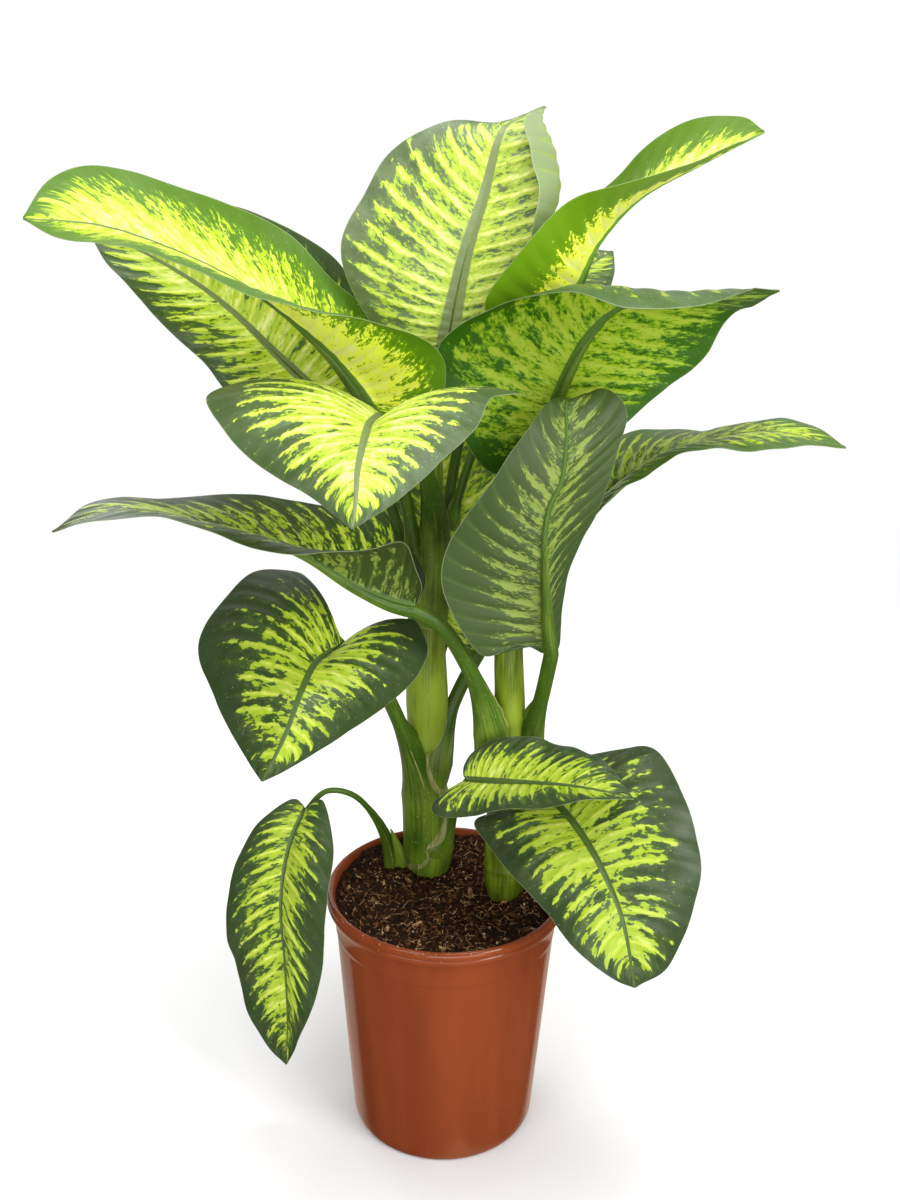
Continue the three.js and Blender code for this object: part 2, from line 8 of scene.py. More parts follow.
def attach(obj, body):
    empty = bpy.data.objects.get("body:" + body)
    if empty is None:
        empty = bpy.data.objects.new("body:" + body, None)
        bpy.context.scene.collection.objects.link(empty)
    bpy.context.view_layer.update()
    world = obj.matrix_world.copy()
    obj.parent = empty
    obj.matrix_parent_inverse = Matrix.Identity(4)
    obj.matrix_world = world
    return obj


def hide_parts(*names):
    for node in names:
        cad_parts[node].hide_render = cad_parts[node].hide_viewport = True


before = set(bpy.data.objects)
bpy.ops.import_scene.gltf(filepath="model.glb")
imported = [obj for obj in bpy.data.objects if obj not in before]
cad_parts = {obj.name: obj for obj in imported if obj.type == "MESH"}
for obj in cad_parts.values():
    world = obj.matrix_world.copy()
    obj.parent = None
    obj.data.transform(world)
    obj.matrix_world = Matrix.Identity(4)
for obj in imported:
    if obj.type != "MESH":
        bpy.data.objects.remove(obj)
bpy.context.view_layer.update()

MM = 0.001

# Driving dimensions of the pot, as in the part's source
RIM_RADIUS = 105
POT_HEIGHT = 229
LIP_HEIGHT = 12
LIP_DEPTH = 5
WALL = 2.4
FLARE_DROP = 36
FLARE_RADIUS = 97
BASE_RADIUS = 83
BASE_EDGE = 5
DRAIN_HOLES = 6
DRAIN_RADIUS = 5
DRAIN_CIRCLE = 55

# What follows from them, and how the pot is turned: its sides, the heights between which its
# wall has rings, the ring under its bottom, and where its inside starts and ends
LIP_LOW = POT_HEIGHT - LIP_HEIGHT
FLARE_LOW = POT_HEIGHT - FLARE_DROP
NECK_RADIUS = RIM_RADIUS - LIP_DEPTH
POT_SIDES = 160
WALL_RINGS = 22
WALL_SPAN = (BASE_EDGE + 6, FLARE_LOW - 5)
UNDER_RING = 30
INSIDE_TOP = 6
INSIDE_EDGE = 3
DRILL_SIDES = 24

# Mouldings of the pot, from its foot round to its inside: the radius and height that each one
# starts from, and its points from there
FOOT_ROUND = (BASE_RADIUS, 0, [(-BASE_EDGE, 0), (-2.6, 0.4), (-1, 1.8), (0, BASE_EDGE)])
MOULDINGS = [
    (FLARE_RADIUS, FLARE_LOW, [(-0.3, -1.6), (0.5, -0.4), (0.55, 0.8), (0.25, 2.2), (1.2, 10)]),
    (NECK_RADIUS, LIP_LOW, [(-0.4, -1.2), (0.6, -0.2)]),
    (RIM_RADIUS, LIP_LOW, [(-1.4, 0), (-0.4, 0.6), (0, 1.8), (0, 4.0), (-0.3, 4.6)]),
    (RIM_RADIUS, LIP_LOW, [(-0.9, 5.0), (-0.9, 5.4), (-0.2, 5.9), (0, 6.8)]),
    (RIM_RADIUS, POT_HEIGHT, [(-0.1, -3.4), (-0.8, -1.6), (-2.0, -0.4), (-3.4, 0)]),
    (NECK_RADIUS, POT_HEIGHT, [(0.3, -0.7), (-1.4, -3.0)]),
]

# Driving dimensions of the peat, as in the part's source, and of its rough top: the size of its
# lumps, their roughness, step and octaves, how much finer its grain is, and its drop by the wall
SOIL_LEVEL = 213
SOIL_RISE = 19
SOIL_BUMP = 1.6
SOIL_RINGS = 70
SOIL_SIDES = 160
SOIL_ROUGH = 2.2
SOIL_LUMP = 9
SOIL_FRACTAL = (1.0, 2.2, 5)
SOIL_FINE = 0.8
SOIL_FINER = 4
SOIL_EDGE_DROP = 1.6
SOIL_EDGE_REACH = 5
SOIL_WALL_RISE = 4
SOIL_GAP = 0.3
SOIL_LOW_GAP = 0.6
SOIL_SEED = 11

# Driving dimensions that every leaf shares, as in the part's source
RIB_DEPTH = 4
VEIN_SWEEP = 1.6
WAVES = 2.5
WAVE_HEIGHT = 3
WAVE_SHIFT = 2
LIP_START = 0.6
CLASP_SHARE = 0.35

# How finely a blade is made: shares of its length where it starts and ends, rows, columns on
# each half, and the distances of the columns over the midrib
BLADE_SPAN = (0.004, 0.997)
BLADE_ROWS = 160
BLADE_COLUMNS = 20
RIB_COLUMNS = [0.8, 1.7, 2.6, 3.6, 4.7, 6.0]

# Relief of a blade: its thickness, the quilting between lateral veins, the groove over the
# midrib, and the small uneven ripples
BLADE_MIDDLE = 0.9
BLADE_EDGE = 0.4
LATERALS = 20
VEIN_BEND = 0.06
QUILT = 0.5
RIB_NARROW = 0.8
RIB_WIDEN = 3.4
GROOVE = 0.6
GROOVE_WIDTH = 0.8
SHOULDER = 0.15
SHOULDER_PLACE = 1.5
SHOULDER_WIDTH = 0.7
RIPPLES = 11
RIPPLE_LENGTH = 45
RIPPLE_HEIGHT = 3.2

# How far apart the two halves of a blade, and two leaves, lie in the ripples' noise
HALVES_APART = 3
LEAVES_APART = 5.1

# Petioles: sides and rings, and the groove along their upper side
STALK_SIDES = 36
STALK_RINGS = 110
STALK_GROOVE = 0.14
STALK_GROOVE_ANGLE = 0.55

# The sheath's wings: how far they stand out, the angle that they stand at, how thin and how
# ragged they are, and the columns close round each
WING = 2.2
WING_ANGLE = 0.9
WING_THIN = 0.07
WING_RAGGED = 0.35
WING_COLUMNS = (-0.12, -0.06, 0, 0.06, 0.12)

# The rod that a petiole runs on as under its blade: where its end sinks in, shares of the
# blade's length that it goes through, where it ends, the gap under the blade, its tip and taper
STALK_SINK = 0.8
ROD_REACH = [0.1, 0.22, 0.36, 0.5, 0.62]
ROD_END = 0.66
ROD_GAP = 0.3
ROD_TIP = 0.4
ROD_TAPER = 0.8

# Canes: sides, steps between rings, how uneven they are, with the turns of that round them and
# its length along them, how far they lie inside the solid, the leaf scars, and the level and
# the reach of the narrow foot in the soil
CANE_SIDES = 48
CANE_STEP = 2.0
CANE_ROUGH_STEP = 3.0
CANE_UNEVEN = 0.02
UNEVEN_TURNS = 1.5
UNEVEN_LENGTH = 60
CANE_INSET = 0.2
SCAR_RISE = 0.9
SCAR_RISE_REACH = 2.2
SCAR_DIP = 0.5
SCAR_DIP_REACH = 1.5
SCAR_DIP_DROP = 4
FOOT_LEVEL = 206
FOOT_REACH = 15

# Each cane. middle: where it stands. scars: heights of its leaf scars. foot: how much it
# narrows at the soil. line: points of the axis with the radius there, as in the part's source.
CANES = {
    "cane_left": dict(
        middle=(-18, 55),
        scars=[232, 340],
        foot=0.12,
        line=[
            [-17, 58, 130, 17],
            [-17, 58, 205, 20],
            [-17, 58, 250, 19],
            [-18, 57, 292, 18],
            [-18, 56, 332, 16.5],
            [-18, 55, 352, 18],
            [-19, 54, 385, 19],
            [-20, 53, 440, 16.5],
            [-18, 52, 480, 13],
            [-16, 52, 515, 10.5],
            [-15, 52, 560, 9],
            [-15, 53, 600, 7.5],
        ],
    ),
    "cane_right": dict(
        middle=(52, 12),
        scars=[244],
        foot=0.3,
        line=[
            [51, 12, 140, 17],
            [52, 12, 205, 18.8],
            [52.5, 12, 240, 19],
            [52, 12, 300, 17.2],
            [52, 12, 345, 15.5],
            [52, 12, 402, 13.3],
            [50, 12, 443, 12.3],
            [50, 14, 500, 10],
        ],
    ),
}

# The side shoot's bud: points of its middle line, radii along it, its rings and sides, how oval
# it is, and the fold of its rolled sheath: its angle, depth and width, and its dry border's width
BUD_LINE = [[-43, 50, 180], [-43, 50, 222], [-46, 49, 240], [-51, 47, 257]]
BUD_RADII = [6, 6, 6, 5.6, 4.4, 2.6, 0.6]
BUD_RINGS = 40
BUD_SIDES = 32
BUD_OVAL = 0.2
FOLD_ANGLE = 0.6
FOLD_DEPTH = 0.25
FOLD_WIDTH = 0.12
FOLD_BORDER = 0.09

# How a petiole's foot is made. start: points that it starts from. deep: how far the start lies
# below the leaf's own foot. length and narrow: how far up it widens, and its share of the width
# at the start. wing: how wide the sheath's wings are.
PLAIN_FOOT = dict(start=[], deep=0, length=7, narrow=0.8, wing=1.0)
FEET = {
    "leaf_low_front": dict(start=[[-18, 57, 196]], deep=29, length=42, narrow=0.83),
    "leaf_low_left": dict(start=[[-18, 57, 222]], deep=24, length=8, narrow=0.9),
    "leaf_right": dict(start=[[-17, 54, 275]], deep=20, length=75, narrow=0.45),
    "leaf_front_upright": dict(wing=2.6),
    "leaf_left": dict(wing=1.6),
}

# Leaves, as in the part's source, with a list of points each. petiole: from
# the foot on the cane to the blade. rib: the midrib from there to the tip. left, right:
# the margin between base and tip. arch: how far each half bulges at base, middle and tip,
# as a share of its width. lips: parts of a margin that roll. sheath: radius and length of
# the part that clasps. stalk: radius of the petiole above its sheath and at the blade.
LEAVES = [
    dict(
        name="leaf_hanging",
        sheath=[8, 140],
        stalk=[3.4, 2.4],
        petiole=[[-48, 51, 150], [-51, 51, 214], [-59, 46, 256], [-80, 36, 294], [-106, 26, 306]],
        rib=[[-125, 20, 291], [-137, 0, 266], [-143, -20, 223], [-140, -30, 169], [-139, -32, 113],
            [-143, -25, 53]],
        left=[[-109, 10, 305], [-98, -15, 276], [-98, -38, 250], [-102, -50, 211], [-112, -52, 144],
            [-127, -42, 97]],
        right=[[-139, 25, 297], [-173, 20, 269], [-193, 5, 222], [-193, -5, 165], [-181, -12, 108],
            [-160, -20, 71]],
        arch=[[0.08, 0.1, 0], [0.08, 0.1, 0]],
    ),
    dict(
        name="leaf_low_front",
        sheath=[22.8, 60],
        stalk=[5, 3],
        petiole=[[-16, 56, 225], [-14, 56, 241], [5, 47, 275], [13, -2, 322]],
        rib=[[15, -38, 351], [43, -55, 359], [85, -78, 369], [118, -95, 373], [143, -108, 373]],
        left=[[15, -30, 362], [31, -26, 381], [67, -30, 386], [99, -44, 387], [127, -75, 384]],
        right=[[-9, -35, 331], [-8, -48, 324], [23, -66, 334], [56, -90, 353], [98, -105, 368]],
        arch=[[0.08, 0.08, 0], [0.08, 0.08, 0]],
    ),
    dict(
        name="leaf_low_right",
        sheath=[19, 45],
        stalk=[6, 4],
        petiole=[[56, 5, 272], [60, -4, 300], [70, -24, 330]],
        rib=[[83, -48, 342], [101, -72, 333], [120, -105, 314], [137, -128, 279], [148, -140, 226]],
        left=[[93, -30, 362], [125, -35, 377], [169, -45, 383], [192, -85, 348], [197, -115, 308],
            [176, -135, 247]],
        right=[[52, -40, 327], [23, -40, 314], [42, -72, 299], [70, -110, 285], [101, -132, 256],
            [130, -140, 235]],
        arch=[[0.08, 0.1, 0], [0.08, 0.1, 0]],
    ),
    dict(
        name="leaf_low_left",
        sheath=[22.5, 135],
        stalk=[8, 5.5],
        petiole=[[-18, 56, 246], [-20, 54, 290], [-27, 46, 325], [-41, 30, 368], [-57, 12, 412]],
        rib=[[-82, -20, 462], [-102, -60, 463], [-111, -90, 452], [-122, -110, 423],
            [-139, -120, 389]],
        left=[[-53, 5, 457], [-32, 18, 473], [-18, 0, 451], [-39, -45, 429], [-88, -90, 410],
            [-119, -112, 397]],
        right=[[-105, 0, 472], [-124, 25, 507], [-165, 15, 510], [-202, -20, 464], [-182, -65, 431],
            [-158, -100, 407]],
        arch=[[0.1, 0.1, 0], [0.1, 0.1, 0]],
    ),
    dict(
        name="leaf_right",
        sheath=[19, 85],
        stalk=[7.5, 4],
        petiole=[[-12, 49, 305], [-9, 50, 335], [5, 58, 380], [28, 68, 425], [64, 60, 484]],
        rib=[[111, 40, 560], [153, 30, 600], [197, 18, 624], [247, 0, 637], [300, -25, 630]],
        left=[[105, 75, 584], [143, 92, 611], [181, 90, 621], [220, 72, 627], [255, 48, 636],
            [285, 12, 640]],
        right=[[113, 22, 557], [138, 5, 592], [174, -25, 620], [195, -38, 629], [222, -46, 633],
            [259, -42, 634]],
        arch=[[0.08, 0.08, 0], [0.08, 0.08, 0]],
    ),
    dict(
        name="leaf_front_upright",
        sheath=[12, 70],
        stalk=[6.5, 6.2],
        petiole=[[69, 8, 340], [72, 5, 375], [78, -6, 415]],
        rib=[[79, -20, 456], [73, -30, 533], [74, -32, 576], [84, -30, 603], [87, -22, 633],
            [87, -8, 658], [96, 18, 657]],
        left=[[91, 8, 454], [93, 12, 492], [105, 5, 538], [117, -5, 582], [130, -10, 623],
            [135, 0, 652], [118, 12, 666]],
        right=[[57, -25, 466], [25, -35, 461], [-6, -45, 518], [0, -50, 556], [25, -45, 598],
            [55, -30, 639], [75, -5, 660]],
        arch=[[0.05, 0.08, 0], [0.06, 0.08, 0]],
    ),
    dict(
        name="leaf_left",
        sheath=[17, 95],
        stalk=[8.5, 6],
        petiole=[[40, 5, 345], [37, 0, 380], [22, -14, 430], [-3, -26, 478]],
        rib=[[-26, -30, 500], [-63, -38, 514], [-115, -50, 548], [-172, -65, 571], [-233, -85, 589],
            [-283, -110, 578]],
        left=[[-22, -60, 529], [-33, -90, 567], [-58, -105, 565], [-106, -115, 567],
            [-148, -120, 577], [-197, -122, 589], [-246, -118, 590]],
        right=[[-21, 5, 514], [-40, 20, 539], [-59, 22, 566], [-105, 15, 570], [-159, 5, 577],
            [-203, -12, 583], [-261, -55, 588]],
        arch=[[0.1, 0.08, 0], [0.05, 0.05, 0]],
    ),
    dict(
        name="leaf_behind_canes",
        sheath=[13, 40],
        stalk=[6, 4.5],
        petiole=[[-19, 72, 360], [-17, 78, 385], [-10, 86, 408]],
        rib=[[-4, 88, 428], [-7, 98, 500], [-10, 112, 570], [-12, 135, 645]],
        left=[[-22, 87, 414], [-41, 83, 458], [-60, 88, 503], [-67, 102, 553], [-51, 125, 611]],
        right=[[19, 87, 402], [36, 83, 436], [48, 83, 487], [50, 97, 547], [29, 125, 612]],
        arch=[[0.06, 0.06, 0], [0.06, 0.06, 0]],
    ),
    dict(
        name="leaf_front",
        sheath=[17.5, 150],
        stalk=[8, 5],
        petiole=[[-19, 52, 455], [-17, 51, 495], [-15, 43, 550], [-23, 20, 602], [-38, -4, 632]],
        rib=[[-51, -25, 649], [-57, -85, 654], [-58, -145, 654], [-59, -190, 644], [-58, -220, 632],
            [-59, -238, 618]],
        left=[[-18, -5, 655], [28, -25, 670], [56, -50, 667], [27, -95, 677], [14, -140, 661],
            [-8, -175, 644], [-33, -212, 630]],
        right=[[-102, -10, 661], [-151, -30, 678], [-176, -70, 667], [-154, -115, 649],
            [-119, -155, 634], [-85, -200, 626]],
        arch=[[0.1, 0.1, 0], [0.1, 0.1, 0]],
    ),
    dict(
        name="leaf_back_left",
        sheath=[11, 40],
        stalk=[5.5, 4],
        petiole=[[-34, 66, 470], [-38, 68, 505], [-54, 74, 560], [-76, 78, 605]],
        rib=[[-103, 80, 639], [-149, 88, 680], [-185, 92, 714], [-226, 90, 744], [-296, 75, 784]],
        left=[[-137, 75, 619], [-185, 70, 648], [-207, 62, 679], [-247, 58, 719], [-278, 60, 755]],
        right=[[-66, 95, 646], [-67, 110, 695], [-96, 118, 751], [-148, 118, 784], [-193, 110, 800],
            [-247, 95, 807]],
        arch=[[0.08, 0.08, 0], [0.05, 0.05, 0]],
    ),
    dict(
        name="leaf_top_left",
        sheath=[11, 50],
        stalk=[6.5, 4.5],
        petiole=[[-28, 47, 500], [-31, 44, 530], [-40, 38, 580], [-50, 31, 615]],
        rib=[[-62, 25, 644], [-99, 12, 694], [-142, 0, 732], [-188, -12, 759], [-249, -25, 782],
            [-305, -45, 788]],
        left=[[-42, 14, 640], [-10, 18, 655], [-10, 10, 695], [-47, -30, 721], [-109, -62, 743],
            [-157, -72, 756], [-212, -80, 773], [-265, -70, 775]],
        right=[[-43, 55, 661], [-44, 70, 699], [-94, 75, 739], [-129, 72, 772], [-185, 60, 800],
            [-225, 45, 817], [-264, 25, 826], [-294, -10, 814]],
        arch=[[-0.05, -0.05, 0], [-0.12, -0.12, 0]],
        lips=[["left", 0.2, 0.85, [-2, -6, -9]]],
    ),
    dict(
        name="leaf_back",
        sheath=[9, 30],
        stalk=[5, 4],
        petiole=[[-9, 66, 500], [-7, 70, 530], [4, 88, 600], [14, 108, 655]],
        rib=[[23, 120, 686], [58, 160, 713], [96, 205, 736], [132, 245, 751], [153, 280, 759]],
        left=[[5, 140, 697], [14, 190, 727], [52, 240, 750], [105, 270, 762]],
        right=[[39, 105, 676], [83, 120, 687], [125, 160, 709], [147, 225, 736]],
        arch=[[0.08, 0.08, 0], [0.08, 0.08, 0]],
    ),
    dict(
        name="leaf_top_right",
        sheath=[6, 30],
        stalk=[4, 3.5],
        petiole=[[1, 52, 540], [6, 54, 570], [24, 62, 620], [58, 64, 665]],
        rib=[[83, 62, 702], [100, 62, 745], [114, 62, 776], [144, 60, 809], [187, 55, 833],
            [233, 45, 857]],
        left=[[55, 100, 710], [59, 115, 750], [87, 120, 794], [116, 118, 814], [149, 112, 845],
            [185, 100, 866], [219, 75, 869]],
        right=[[45, 55, 698], [24, 45, 728], [50, 22, 769], [78, 14, 796], [104, 5, 812],
            [141, -2, 826], [186, 10, 837]],
        arch=[[-0.15, -0.15, 0], [-0.05, -0.05, 0]],
    ),
    dict(
        name="leaf_right_upright",
        sheath=[10, 20],
        stalk=[7, 5.5],
        petiole=[[50, 14, 500], [51, 18, 530], [58, 34, 570]],
        rib=[[75, 52, 618], [92, 44, 672], [109, 38, 707], [133, 35, 728], [183, 32, 735],
            [251, 25, 742]],
        left=[[114, 58, 613], [144, 62, 631], [176, 72, 657], [207, 88, 682], [225, 90, 709],
            [243, 70, 727]],
        right=[[36, 45, 590], [4, 38, 632], [-12, 30, 696], [35, 10, 739], [81, -20, 754],
            [124, -45, 749], [168, -45, 745], [211, -15, 746]],
        arch=[[0.03, 0.05, 0], [0.05, 0.08, 0]],
        lips=[["right", 0.35, 0.92, [2, -9, -13]]],
    ),
    dict(
        name="leaf_top_centre",
        sheath=[9, 20],
        stalk=[7, 5],
        petiole=[[-15, 53, 600], [-15, 54, 625], [-12, 58, 660]],
        rib=[[-6, 62, 690], [7, 72, 757], [22, 85, 807], [35, 105, 855], [51, 125, 868],
            [72, 140, 879]],
        left=[[-44, 62, 684], [-80, 60, 731], [-91, 62, 769], [-74, 72, 807], [-51, 88, 842],
            [-14, 108, 862], [35, 130, 866]],
        right=[[29, 62, 689], [60, 55, 730], [94, 55, 772], [112, 68, 812], [104, 85, 843],
            [83, 110, 866]],
        arch=[[0.05, 0.06, 0], [0.05, 0.06, 0]],
        lips=[["right", 0.35, 0.98, [-50, -24, -2]]],
    ),
]

# How each leaf looks, from the photograph. core and rim: how yellow it is near the rib and
# where the yellow ends. edge: how far out that is, as a share of the half blade. ladder:
# how strictly the marks follow the lateral veins. stretch and fineness: how long and how small
# they are. bright: how bright the yellow is. dark: how dark the green is. lean: how much
# yellower the right half is. bare_base: how much its base is plain. dust and sheen: how dusty
# it is, with a painted grey sheen.
# glow: how much light comes through to the underside. lit, under, ridge and crest: how light
# the green lit through, the underside, the rib below and the rib above are. rib: how wide the
# midrib is. stalk: how light the petiole is.
PLAIN_LOOK = dict(
    lean=0.0,
    bare_base=0.4,
    dust=0.15,
    glow=0.1,
    lit=0.0,
    under=0.0,
    ridge=1.0,
    crest=0.3,
    rib=1.0,
    stalk=0.9,
)
LOOKS = {
    "leaf_hanging": dict(
        core=0.8, rim=0.05, edge=0.84, ladder=0.35, stretch=4.0, fineness=1.1, bright=0.55,
        dark=0.95, crest=0.25, rib=0.7,
    ),
    "leaf_low_front": dict(
        core=1.0, rim=0.1, edge=0.9, ladder=0.3, stretch=4.0, fineness=1.2, bright=0.55, dark=0.95,
        crest=0.2, rib=0.9, stalk=1.0,
    ),
    "leaf_low_right": dict(
        core=0.8, rim=0.05, edge=0.88, ladder=0.3, stretch=4.5, fineness=1.0, bright=0.4, dark=1.2,
        crest=0.15, stalk=1.0,
    ),
    "leaf_low_left": dict(
        core=0.75, rim=-0.2, edge=0.86, ladder=0.3, stretch=4.5, fineness=1.1, bright=0.5,
        dark=1.2, bare_base=0.9, glow=0.2, crest=0.15,
    ),
    "leaf_right": dict(
        core=0.7, rim=0.1, edge=0.88, ladder=0.25, stretch=3.5, fineness=1.2, bright=0.6, dark=0.7,
        dust=0.2, glow=0.7, lit=0.3, crest=0.4, rib=0.8,
    ),
    "leaf_front_upright": dict(
        core=0.5, rim=-0.9, edge=1.0, ladder=0.42, stretch=5.0, fineness=2.6, bright=0.6,
        dark=0.95, bare_base=1.2, dust=0.1, under=0.03, ridge=0.7,
    ),
    "leaf_left": dict(
        core=0.55, rim=-0.2, edge=1.0, ladder=0.25, stretch=3.2, fineness=1.2, bright=0.65,
        dark=1.0, lean=0.15, dust=0.05, ridge=0.8, rib=0.8, stalk=1.0,
    ),
    # Lighter green and more light through it: painted light that lifts it from the shade behind the
    # canes
    "leaf_behind_canes": dict(
        core=0.95, rim=0.3, edge=0.95, ladder=0.25, stretch=4.0, fineness=1.3, bright=0.8,
        dark=0.5, dust=0.3, glow=0.5, lit=0.3, stalk=0.8,
    ),
    # Its plain base reaches far: partly its own plain green, partly painted shade where its base
    # rolls under
    "leaf_front": dict(
        core=1.3, rim=0.3, edge=0.86, ladder=0.45, stretch=3.0, fineness=1.3, bright=0.95,
        dark=0.95, bare_base=2.3, dust=0.4, glow=0.4, crest=0.9, rib=1.5,
    ),
    "leaf_back_left": dict(
        core=1.15, rim=0.15, edge=0.94, ladder=0.3, stretch=4.5, fineness=1.3, bright=0.85,
        dark=0.8, dust=0.2, glow=0.2, crest=0.8, rib=1.5,
    ),
    "leaf_top_left": dict(
        core=1.35, rim=0.15, edge=0.92, ladder=0.05, stretch=3.5, fineness=1.5, bright=0.9,
        dark=0.2, lean=0.12, bare_base=1.4, dust=0.05, glow=1.0, lit=0.35, ridge=0.8, crest=0.6,
        rib=1.6,
    ),
    "leaf_back": dict(
        core=0.7, rim=0.3, edge=0.9, ladder=0.25, stretch=3.5, fineness=1.1, bright=0.5, dark=0.9,
        dust=0.3, glow=0.2, stalk=0.8,
    ),
    "leaf_top_right": dict(
        core=1.55, rim=-0.35, edge=0.8, ladder=0.2, stretch=3.0, fineness=1.8, bright=1.0,
        dark=0.3, lean=-0.15, bare_base=0.8, dust=0.1, glow=1.0, lit=0.6, ridge=1.5, crest=0.6,
        rib=1.1, stalk=1.1,
    ),
    "leaf_right_upright": dict(
        core=0.66, rim=0.2, edge=0.92, ladder=0.25, stretch=3.5, fineness=1.5, bright=0.15,
        dark=0.85, bare_base=1.4, dust=0.45, glow=0.9, ridge=0.75, crest=0.4, rib=2.0, stalk=0.85,
    ),
    "leaf_top_centre": dict(
        core=1.05, rim=0.55, edge=0.88, ladder=0.4, stretch=4.0, fineness=1.7, bright=0.8,
        dark=0.6, dust=0.8, under=0.9, crest=1.0, rib=2.9,
    ),
}

# Colours, as linear light
BLACK = (0, 0, 0)
DARK_GREEN = (0.027, 0.055, 0.010)
MID_GREEN = (0.075, 0.145, 0.012)
BRIGHT_GREEN = (0.38, 0.53, 0.018)
PALE_YELLOW = (0.76, 0.80, 0.13)
CREAM = (0.80, 0.84, 0.40)
# Grey of the dust film, partly a painted sheen
DUST_SHEEN_GREY = (0.24, 0.29, 0.16)
PALE_DOT = (0.42, 0.46, 0.30)
UNDER_GREEN = (0.038, 0.066, 0.012)
UNDER_CHALK = (0.26, 0.33, 0.16)
UNDER_PALE = (0.19, 0.27, 0.045)
LIT_GREEN = (0.030, 0.110, 0.001)
LIT_BRIGHT = (0.22, 0.42, 0.01)
LIT_MID = (0.17, 0.34, 0.003)
LIT_OLIVE = (0.20, 0.33, 0.012)
LIT_YELLOW = (0.86, 0.94, 0.06)
VEIN_GREEN = (0.16, 0.27, 0.05)
RIB_TOP = (0.19, 0.24, 0.09)
RIB_DARK = (0.045, 0.095, 0.012)
RIB_UNDER = (0.09, 0.19, 0.02)
MARGIN_PALE = (0.38, 0.44, 0.24)
CANE_GREEN = (0.055, 0.092, 0.001)
CANE_PALE = (0.235, 0.32, 0.018)
STALK_GREEN = (0.042, 0.098, 0.004)
STALK_PALE = (0.19, 0.29, 0.016)
SPECK_BROWN = (0.09, 0.07, 0.03)
SPECK_PALE = (0.38, 0.45, 0.14)
PAPER_BROWN = (0.16, 0.12, 0.03)
PAPER_PALE = (0.42, 0.44, 0.17)
POT_BROWN = (0.172, 0.035, 0.010)
POT_LIGHT = (0.220, 0.047, 0.014)
PEAT_DARK = (0.004, 0.0016, 0.0006)
PEAT_LIGHT = (0.115, 0.043, 0.013)
FIBRE_TAN = (0.55, 0.36, 0.18)
CHIP_BROWN = (0.20, 0.085, 0.028)
GRIT_WHITE = (0.75, 0.70, 0.62)
FLOOR_WHITE = (0.82, 0.82, 0.82)

# Marks of a leaf, each a noise: how fine it is across and along the veins, its detail and its
# warp. The weights are what it adds to the field that decides where the blade is yellow.
FINGERS = (0.15, 0.15, 4.0, 0.3)
FINE_FINGERS = (0.34, 0.5, 3.0, 0.4)
PATCHES = (0.045, 0.10, 1.0, 0.0)
FINGER_WEIGHT = 3.0
PATCH_WEIGHT = 1.2
YELLOW_FROM = 0.5
YELLOW_FULL = 0.66

# Scales of noises on the object's own coordinates, in turns for each metre
FILM_SCALE = 38.0
DOT_SCALE = 420.0
DULL_SCALE = 45.0
GRAIN_SCALE = 900.0
SCUFF_SCALE = 320.0
FLOW_SCALE = (26.0, 26.0, 3.0)

# Streaks round a stem, and the heights in metres between which the canes are palest
STALK_STREAKS = 26.0
CANE_STREAKS = 16.0
PALE_STARTS = (0.330, 0.352)
PALE_ENDS = (0.37, 0.47)

# How a leaf's look becomes colours: how light its green is where dark is 0, how much glow the
# dark and the mid green take on, the least and the added brightness, and the step of its seed
LIGHTEST = 1.9
GLOW_IN_DARK = 0.6
GLOW_IN_MID = 0.5
BRIGHT_LEAST = 0.6
BRIGHT_ADDED = 0.45
SEED_STEP = 7.3

# Level of the plain reflection of each finish, and how much less it is on a leaf that is lit
STEM_GLOSS = 0.3
LEAF_GLOSS = 0.35
LIT_LEAF_DROP = 0.2
POT_GLOSS = 0.36
PEAT_GLOSS = 0.15
PEAT_ROUGH = 0.85

# Relief of each finish: its strength, and its depth in millimetres
STEM_RELIEF = (0.3, 0.4)
LEAF_RELIEF = (0.35, 0.4)
POT_RELIEF = (0.05, 0.5)
PEAT_RELIEF = (0.6, 1.0)

# Loose soil's finishes: first colour, second colour, how light the second is, and the scale
GRAINS = {
    "peat_dark": (PEAT_DARK, PEAT_LIGHT, 0.5, 160.0),
    "crumb_dark": (PEAT_DARK, PEAT_LIGHT, 0.7, 300.0),
    "crumb_brown": (PEAT_LIGHT, CHIP_BROWN, 1.0, 200.0),
    "fibre_tan": (CHIP_BROWN, FIBRE_TAN, 1.0, 60.0),
    "grit_white": (FIBRE_TAN, GRIT_WHITE, 1.0, 260.0),
}

# Loose bodies. facets: how often a ball is divided, with none for a cone. wave and bend: scale
# and size of the noise that bends it. turn and tilt: how it lies, and how far it leans from that.
BODIES = {
    "crumb": dict(facets=1, wave=2.3, bend=1.7, turn=0.0, tilt=math.pi),
    "chip": dict(facets=2, wave=2.3, bend=1.7, turn=0.0, tilt=math.pi),
    "fibre": dict(facets=0, wave=0.35, bend=12.0, turn=math.pi / 2, tilt=0.35),
}
FIBRE_SIDES = 5
FIBRE_SEGMENTS = 4
FIBRE_TOP = 0.25
FIBRE_FOOT = 0.5
FIBRE_LENGTH = 14.0

# How far up a face looks, at the least, to carry loose soil
UPWARD = 0.4

